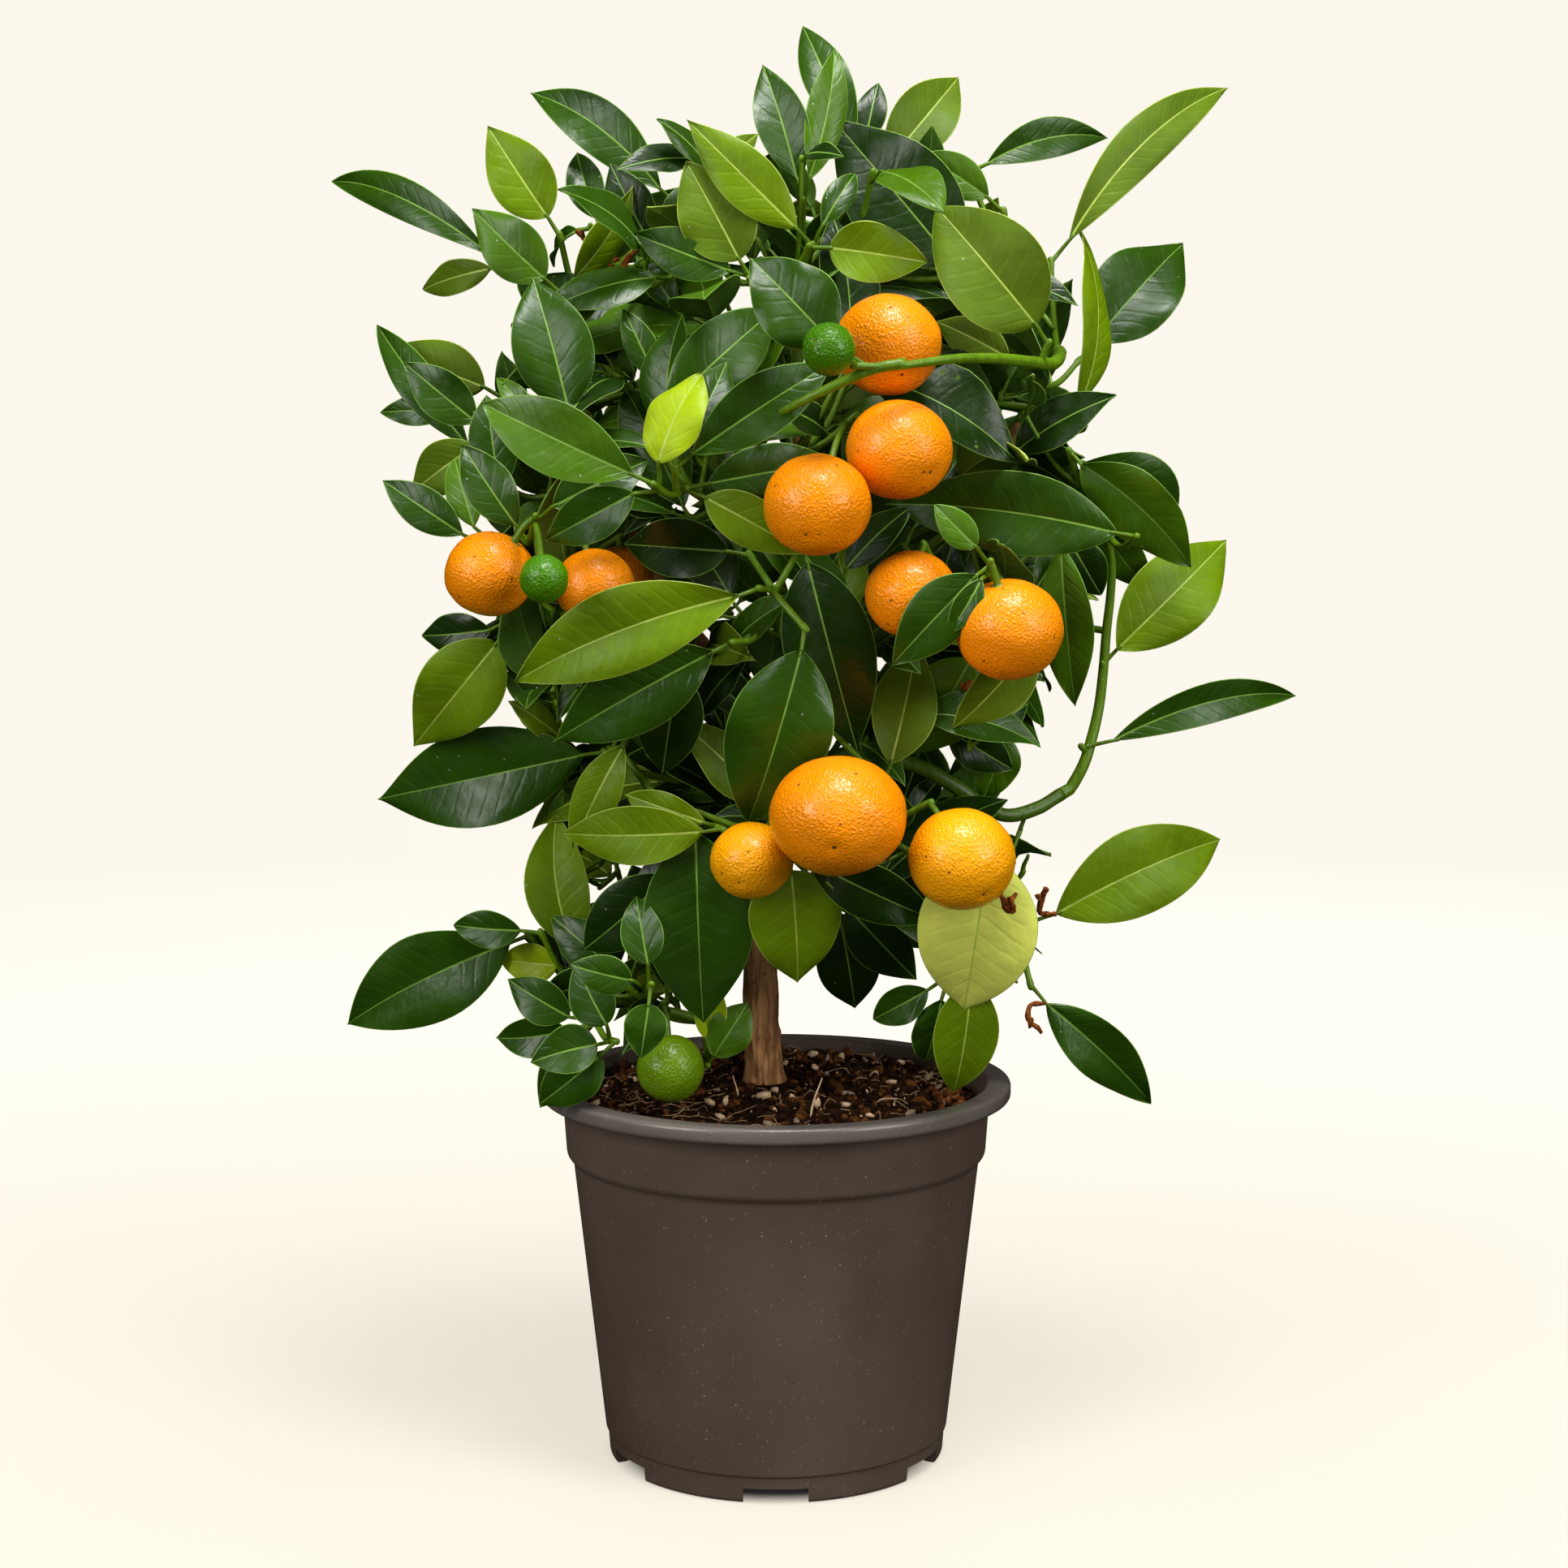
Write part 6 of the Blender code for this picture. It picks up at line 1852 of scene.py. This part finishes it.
def soil_mound(pile):
    """The soil's body: a bumpy mound over a tapering root ball."""
    edge = COLLAR_FOOT_RADIUS - WALL - CLEARANCE * 1.4 + (SOIL_EDGE_Z - COLLAR_FOOT_Z) * 0.04
    gap = WALL + CLEARANCE * 1.4
    floor = BASE_RAISE + BASE_THICKNESS + CLEARANCE
    angles = angles_round(MOUND_SIDES)
    corners = [Vector((0, 0, soil_height(0, 0)))]
    for ring in range(1, MOUND_RINGS + 1):
        radius = edge * (ring / MOUND_RINGS)
        for angle in angles:
            x, y = radius * math.cos(angle), radius * math.sin(angle)
            corners.append(Vector((x, y, min(soil_height(x, y), POT_HEIGHT))))
    walls = ((COLLAR_FOOT_RADIUS, COLLAR_FOOT_Z), (BODY_TOP_RADIUS, BODY_TOP_Z), (BODY_FOOT_RADIUS, floor))
    for wall_radius, height in walls:
        radius = wall_radius - gap
        corners += [Vector((radius * math.cos(angle), radius * math.sin(angle), height)) for angle in angles]
    faces = [(0, 1 + turn, 1 + (turn + 1) % MOUND_SIDES) for turn in range(MOUND_SIDES)]
    rings = MOUND_RINGS + len(walls)
    for here, after, outer_after, outer in wall_faces(rings, MOUND_SIDES, 1):
        faces.append((here, outer, outer_after, after))
    last = len(corners) - MOUND_SIDES
    faces.append(tuple(reversed(range(last, last + MOUND_SIDES))))
    pile.add_shape((corners, faces))


def scattered(dice, clear=TRUNK_CLEAR):
    """A place on the soil, off the trunk's foot."""
    while True:
        radius = SCATTER_REACH * math.sqrt(dice.random())
        angle = dice.uniform(0, 2 * math.pi)
        x, y = radius * math.cos(angle), radius * math.sin(angle)
        if math.hypot(x - TRUNK_PATH[0][0], y - TRUNK_PATH[0][1]) > clear:
            return x, y


def on_soil(x, y, lift):
    """The place that lies so far over the soil."""
    return Vector((x, y, soil_height(x, y) + lift))


def lump_shape(centre, size, dice):
    """An uneven lump: a small ball with its corners pushed in and out."""
    ball = bmesh.new()
    bmesh.ops.create_icosphere(ball, subdivisions=1, radius=1.0)
    angle = dice.uniform(0, FULL_TURN)
    axis = Vector((dice.gauss(0, 1), dice.gauss(0, 1), 1)).normalized()
    turn = Matrix.Rotation(angle, 3, axis)
    corners = []
    for vert in ball.verts:
        reach = dice.uniform(0.72, 1.18)
        corners.append(centre + turn @ Vector([part * scale * reach for part, scale in zip(vert.co, size)]))
    faces = [tuple(vert.index for vert in face.verts) for face in ball.faces]
    ball.free()
    return corners, faces


def add_crumbs(pile, dice, count):
    """Loose crumbs of many sizes, a third of them drier."""
    for _ in range(count):
        x, y = scattered(dice)
        size = dice.uniform(0.35, 0.8) * dice.choice((1.0, 1.0, 1.5, 2.4))
        scale = [size * dice.uniform(0.6, 1.4) for _ in range(3)]
        pile.add_shape(lump_shape(on_soil(x, y, size * 0.35), scale, dice), dice.choice((0, 0, 1)))


def add_chips(pile, dice, count):
    """Flat chips of wood, and darker ones of bark."""
    for _ in range(count):
        x, y = scattered(dice)
        size = dice.uniform(0.4, 0.9) * dice.choice((0.5, 0.6, 0.8, 0.8, 1.2, 2.3))
        shape = lump_shape(on_soil(x, y, size * 0.7), (size * 1.5, size, size * 0.6), dice)
        pile.add_shape(shape, dice.choice((WOOD_CHIP, WOOD_CHIP, BARK_CHIP)))


def add_rust_clods(pile, dice):
    """Reddish clods heaped by the right wall."""
    for _ in range(RUST_LUMPS):
        x, y = RUST_PLACE[0] + dice.gauss(0, 4), RUST_PLACE[1] + dice.gauss(0, 5)
        size = dice.uniform(0.8, 2.0)
        if math.hypot(x, y) < LITTER_EDGE:
            pile.add_shape(lump_shape(on_soil(x, y, size * 0.6), (size,) * 3, dice), RUST_CLOD)


def add_roots(pile, dice, count):
    """Fine dry roots that wander over the soil."""
    for _ in range(count):
        x, y = scattered(dice, ROOT_CLEAR)
        angle, points = dice.uniform(0, FULL_TURN), []
        for _ in range(ROOT_STEPS):
            points.append(on_soil(x, y, dice.uniform(0.2, 2.0)))
            angle += dice.uniform(-0.7, 0.7)
            x, y = x + ROOT_STEP * math.cos(angle), y + ROOT_STEP * math.sin(angle)
            if math.hypot(x, y) > LITTER_EDGE:
                break
        if len(points) > 2:
            path = smooth_path(points, 1.0)
            pile.add_shape(round_tube(path, tapered(path, *ROOT_RADII), 5), DRY_ROOT)


def make_soil(scene):
    """The soil: its mound, crumbs, pale chips and fine dry roots."""
    settings = scene.calamondin_soil
    dice = random.Random(SEED + 7)
    earth = Pile()
    soil_mound(earth)
    add_crumbs(earth, dice, settings.crumbs)
    finishes = [earth_finish("peat", settings.peat), earth_finish("crumb", settings.crumb)]
    settle(earth.make("soil_mound", finishes), ("soil",))
    litter = Pile()
    add_chips(litter, dice, settings.chips)
    add_rust_clods(litter, dice)
    for points in STRAWS:
        path = smooth_path(points, 1.0)
        litter.add_shape(round_tube(path, tapered(path, *STRAW_RADII), 6), WOOD_CHIP)
    add_roots(litter, dice, settings.roots)
    finishes = [
        chip_finish("wood_chip", settings.chip),
        chip_finish("bark_chip", darker(settings.chip, 0.62)),
        chip_finish("dry_root", settings.root),
        earth_finish("rust_clod", settings.rust),
    ]
    settle(litter.make("soil_litter", finishes), ())


# Stage
WARM_WHITE = (1.0, 0.98, 0.94)
SIDE_WHITE = (1.0, 0.99, 0.96)
TOP_WHITE = (1.0, 0.995, 0.98)
PLANT_MIDDLE = (0.0, 0.0, 0.26)
# Lamps: place, width and height, watts, colour and whether glossy pieces mirror it
LAMPS = {
    "left_lamp": ((-1.05, -0.95, 0.75), (0.6, 0.9), 13.0, SIDE_WHITE, True),
    "right_lamp": ((1.1, -0.9, 0.75), (0.6, 0.9), 12.5, SIDE_WHITE, True),
    "top_lamp": ((0.15, -0.42, 1.5), (0.5, 0.5), 23.0, TOP_WHITE, True),
    "front_lamp": ((0.0, -1.35, 0.22), (1.0, 0.5), 2.2, WARM_WHITE, False),
    "back_lamp": ((0.3, 1.3, 0.9), (0.9, 0.6), 5.0, WARM_WHITE, False),
}
SKY_COLOUR = (1.0, 0.97, 0.9, 1.0)
SKY_STRENGTH = 0.07
CAMERA_PLACE = (0.0025, -0.84, 0.2964)
SENSOR_WIDTH = 36.0


def add_lamp(name, place, size, watts, colour, mirrored):
    """A soft square lamp that points at the plant's middle."""
    lamp = bpy.data.lights.new(name, "AREA")
    lamp.shape = "RECTANGLE"
    lamp.size, lamp.size_y = size
    lamp.energy = watts
    lamp.color = colour
    obj = new_object(name, lamp)
    obj.location = place
    obj.rotation_euler = (Vector(PLANT_MIDDLE) - Vector(place)).to_track_quat("-Z", "Y").to_euler()
    obj.visible_glossy = mirrored
    obj.visible_camera = False


def make_backdrop(colour):
    """A pale floor that curves up to a wall behind the plant."""
    front, back, bend, top, half, steps = -2.2, 1.5, 0.8, 2.6, 3.0, 24
    line = [(front, 0.0), (back, 0.0)]
    for step in range(1, steps + 1):
        angle = math.radians(90 * step / steps)
        line.append((back + bend * math.sin(angle), bend * (1 - math.cos(angle))))
    line.append((back + bend, top))
    corners = [(side * half, y, z) for side in (-1, 1) for y, z in line]
    count = len(line)
    faces = [(index, count + index, count + index + 1, index + 1) for index in range(count - 1)]
    mesh = bpy.data.meshes.new("backdrop")
    mesh.from_pydata(corners, [], faces)
    mesh.shade_smooth()
    mesh.materials.append(backdrop_finish("studio_paper", colour))
    obj = new_object("backdrop", mesh)
    obj.visible_glossy = False
    obj.visible_diffuse = False


def set_stage(scene):
    """Floor, backdrop, soft lamps, pale world and the camera."""
    settings = scene.calamondin_stage
    make_backdrop(settings.backdrop)
    for name, (place, size, watts, colour, mirrored) in LAMPS.items():
        add_lamp(name, place, size, watts * settings.strength, colour, mirrored)
    world = bpy.data.worlds.new("studio")
    world.use_nodes = True
    sky = world.node_tree.nodes["Background"]
    sky.inputs["Color"].default_value = SKY_COLOUR
    sky.inputs["Strength"].default_value = SKY_STRENGTH
    scene.world = world
    world.cycles_visibility.glossy = False
    camera = bpy.data.cameras.new("camera")
    camera.lens = settings.lens
    camera.sensor_width = SENSOR_WIDTH
    camera.clip_start = 0.05
    scene.camera = new_object("camera", camera)
    scene.camera.location = CAMERA_PLACE
    scene.camera.rotation_euler = (math.radians(90) - settings.tilt, 0, 0)
    scene.view_settings.view_transform = "Standard"


# Operators
class CALAMONDIN_OT_pot(bpy.types.Operator):
    """Turn the nursery pot"""

    bl_idname = "calamondin.pot"
    bl_label = "Pot"

    def execute(self, context):
        make_pot(context.scene)
        return {"FINISHED"}


class CALAMONDIN_OT_soil(bpy.types.Operator):
    """Heap the soil with its crumbs, chips and roots"""

    bl_idname = "calamondin.soil"
    bl_label = "Soil"

    def execute(self, context):
        make_soil(context.scene)
        return {"FINISHED"}


class CALAMONDIN_OT_limbs(bpy.types.Operator):
    """Grow the trunk and the boughs with their bark"""

    bl_idname = "calamondin.limbs"
    bl_label = "Trunk and boughs"

    def execute(self, context):
        make_limbs(context.scene)
        return {"FINISHED"}


class CALAMONDIN_OT_twigs(bpy.types.Operator):
    """Grow the twigs and the stalks of leaves and fruit"""

    bl_idname = "calamondin.twigs"
    bl_label = "Twigs"

    def execute(self, context):
        grow_twigs(context.scene)
        return {"FINISHED"}


class CALAMONDIN_OT_leaves(bpy.types.Operator):
    """Grow the leaves"""

    bl_idname = "calamondin.leaves"
    bl_label = "Leaves"

    def execute(self, context):
        grow_leaves(context.scene)
        return {"FINISHED"}


class CALAMONDIN_OT_fruit(bpy.types.Operator):
    """Grow the oranges with their caps"""

    bl_idname = "calamondin.fruit"
    bl_label = "Fruit"

    def execute(self, context):
        grow_fruit(context.scene)
        return {"FINISHED"}


class CALAMONDIN_OT_dried_stalks(bpy.types.Operator):
    """Add the dried stalk ends"""

    bl_idname = "calamondin.dried_stalks"
    bl_label = "Dried stalks"

    def execute(self, context):
        grow_dried_stalks(context.scene)
        return {"FINISHED"}


class CALAMONDIN_OT_stage(bpy.types.Operator):
    """Set the floor, the lamps and the camera"""

    bl_idname = "calamondin.stage"
    bl_label = "Stage"

    def execute(self, context):
        set_stage(context.scene)
        return {"FINISHED"}


class CALAMONDIN_PT_sidebar(bpy.types.Panel):
    """Sizes, colours and steps of the tree"""

    bl_idname = "CALAMONDIN_PT_sidebar"
    bl_label = "Calamondin tree"
    bl_space_type = "VIEW_3D"
    bl_region_type = "UI"
    bl_category = "Calamondin"

    def draw(self, context):
        for operator in OPERATORS:
            self.layout.operator(operator.bl_idname)
        for name, group in SETTINGS.items():
            box = self.layout.box()
            box.label(text=group.__doc__)
            for field in group.__annotations__:
                box.prop(getattr(context.scene, name), field)


SETTINGS = {
    "calamondin_leaves": CalamondinLeafSettings,
    "calamondin_fruit": CalamondinFruitSettings,
    "calamondin_wood": CalamondinWoodSettings,
    "calamondin_pot": CalamondinPotSettings,
    "calamondin_soil": CalamondinSoilSettings,
    "calamondin_stage": CalamondinStageSettings,
}
OPERATORS = (
    CALAMONDIN_OT_stage,
    CALAMONDIN_OT_pot,
    CALAMONDIN_OT_soil,
    CALAMONDIN_OT_limbs,
    CALAMONDIN_OT_twigs,
    CALAMONDIN_OT_leaves,
    CALAMONDIN_OT_fruit,
    CALAMONDIN_OT_dried_stalks,
)
CLASSES = (*SETTINGS.values(), *OPERATORS, CALAMONDIN_PT_sidebar)


def register():
    for kind in CLASSES:
        bpy.utils.register_class(kind)
    for name, group in SETTINGS.items():
        setattr(bpy.types.Scene, name, bpy.props.PointerProperty(type=group))


def unregister():
    for name in SETTINGS:
        delattr(bpy.types.Scene, name)
    for kind in reversed(CLASSES):
        bpy.utils.unregister_class(kind)


def main():
    register()
    for operator in OPERATORS:
        step = operator.bl_idname.split(".")[1]
        getattr(bpy.ops.calamondin, step)()


if __name__ == "__main__":
    main()
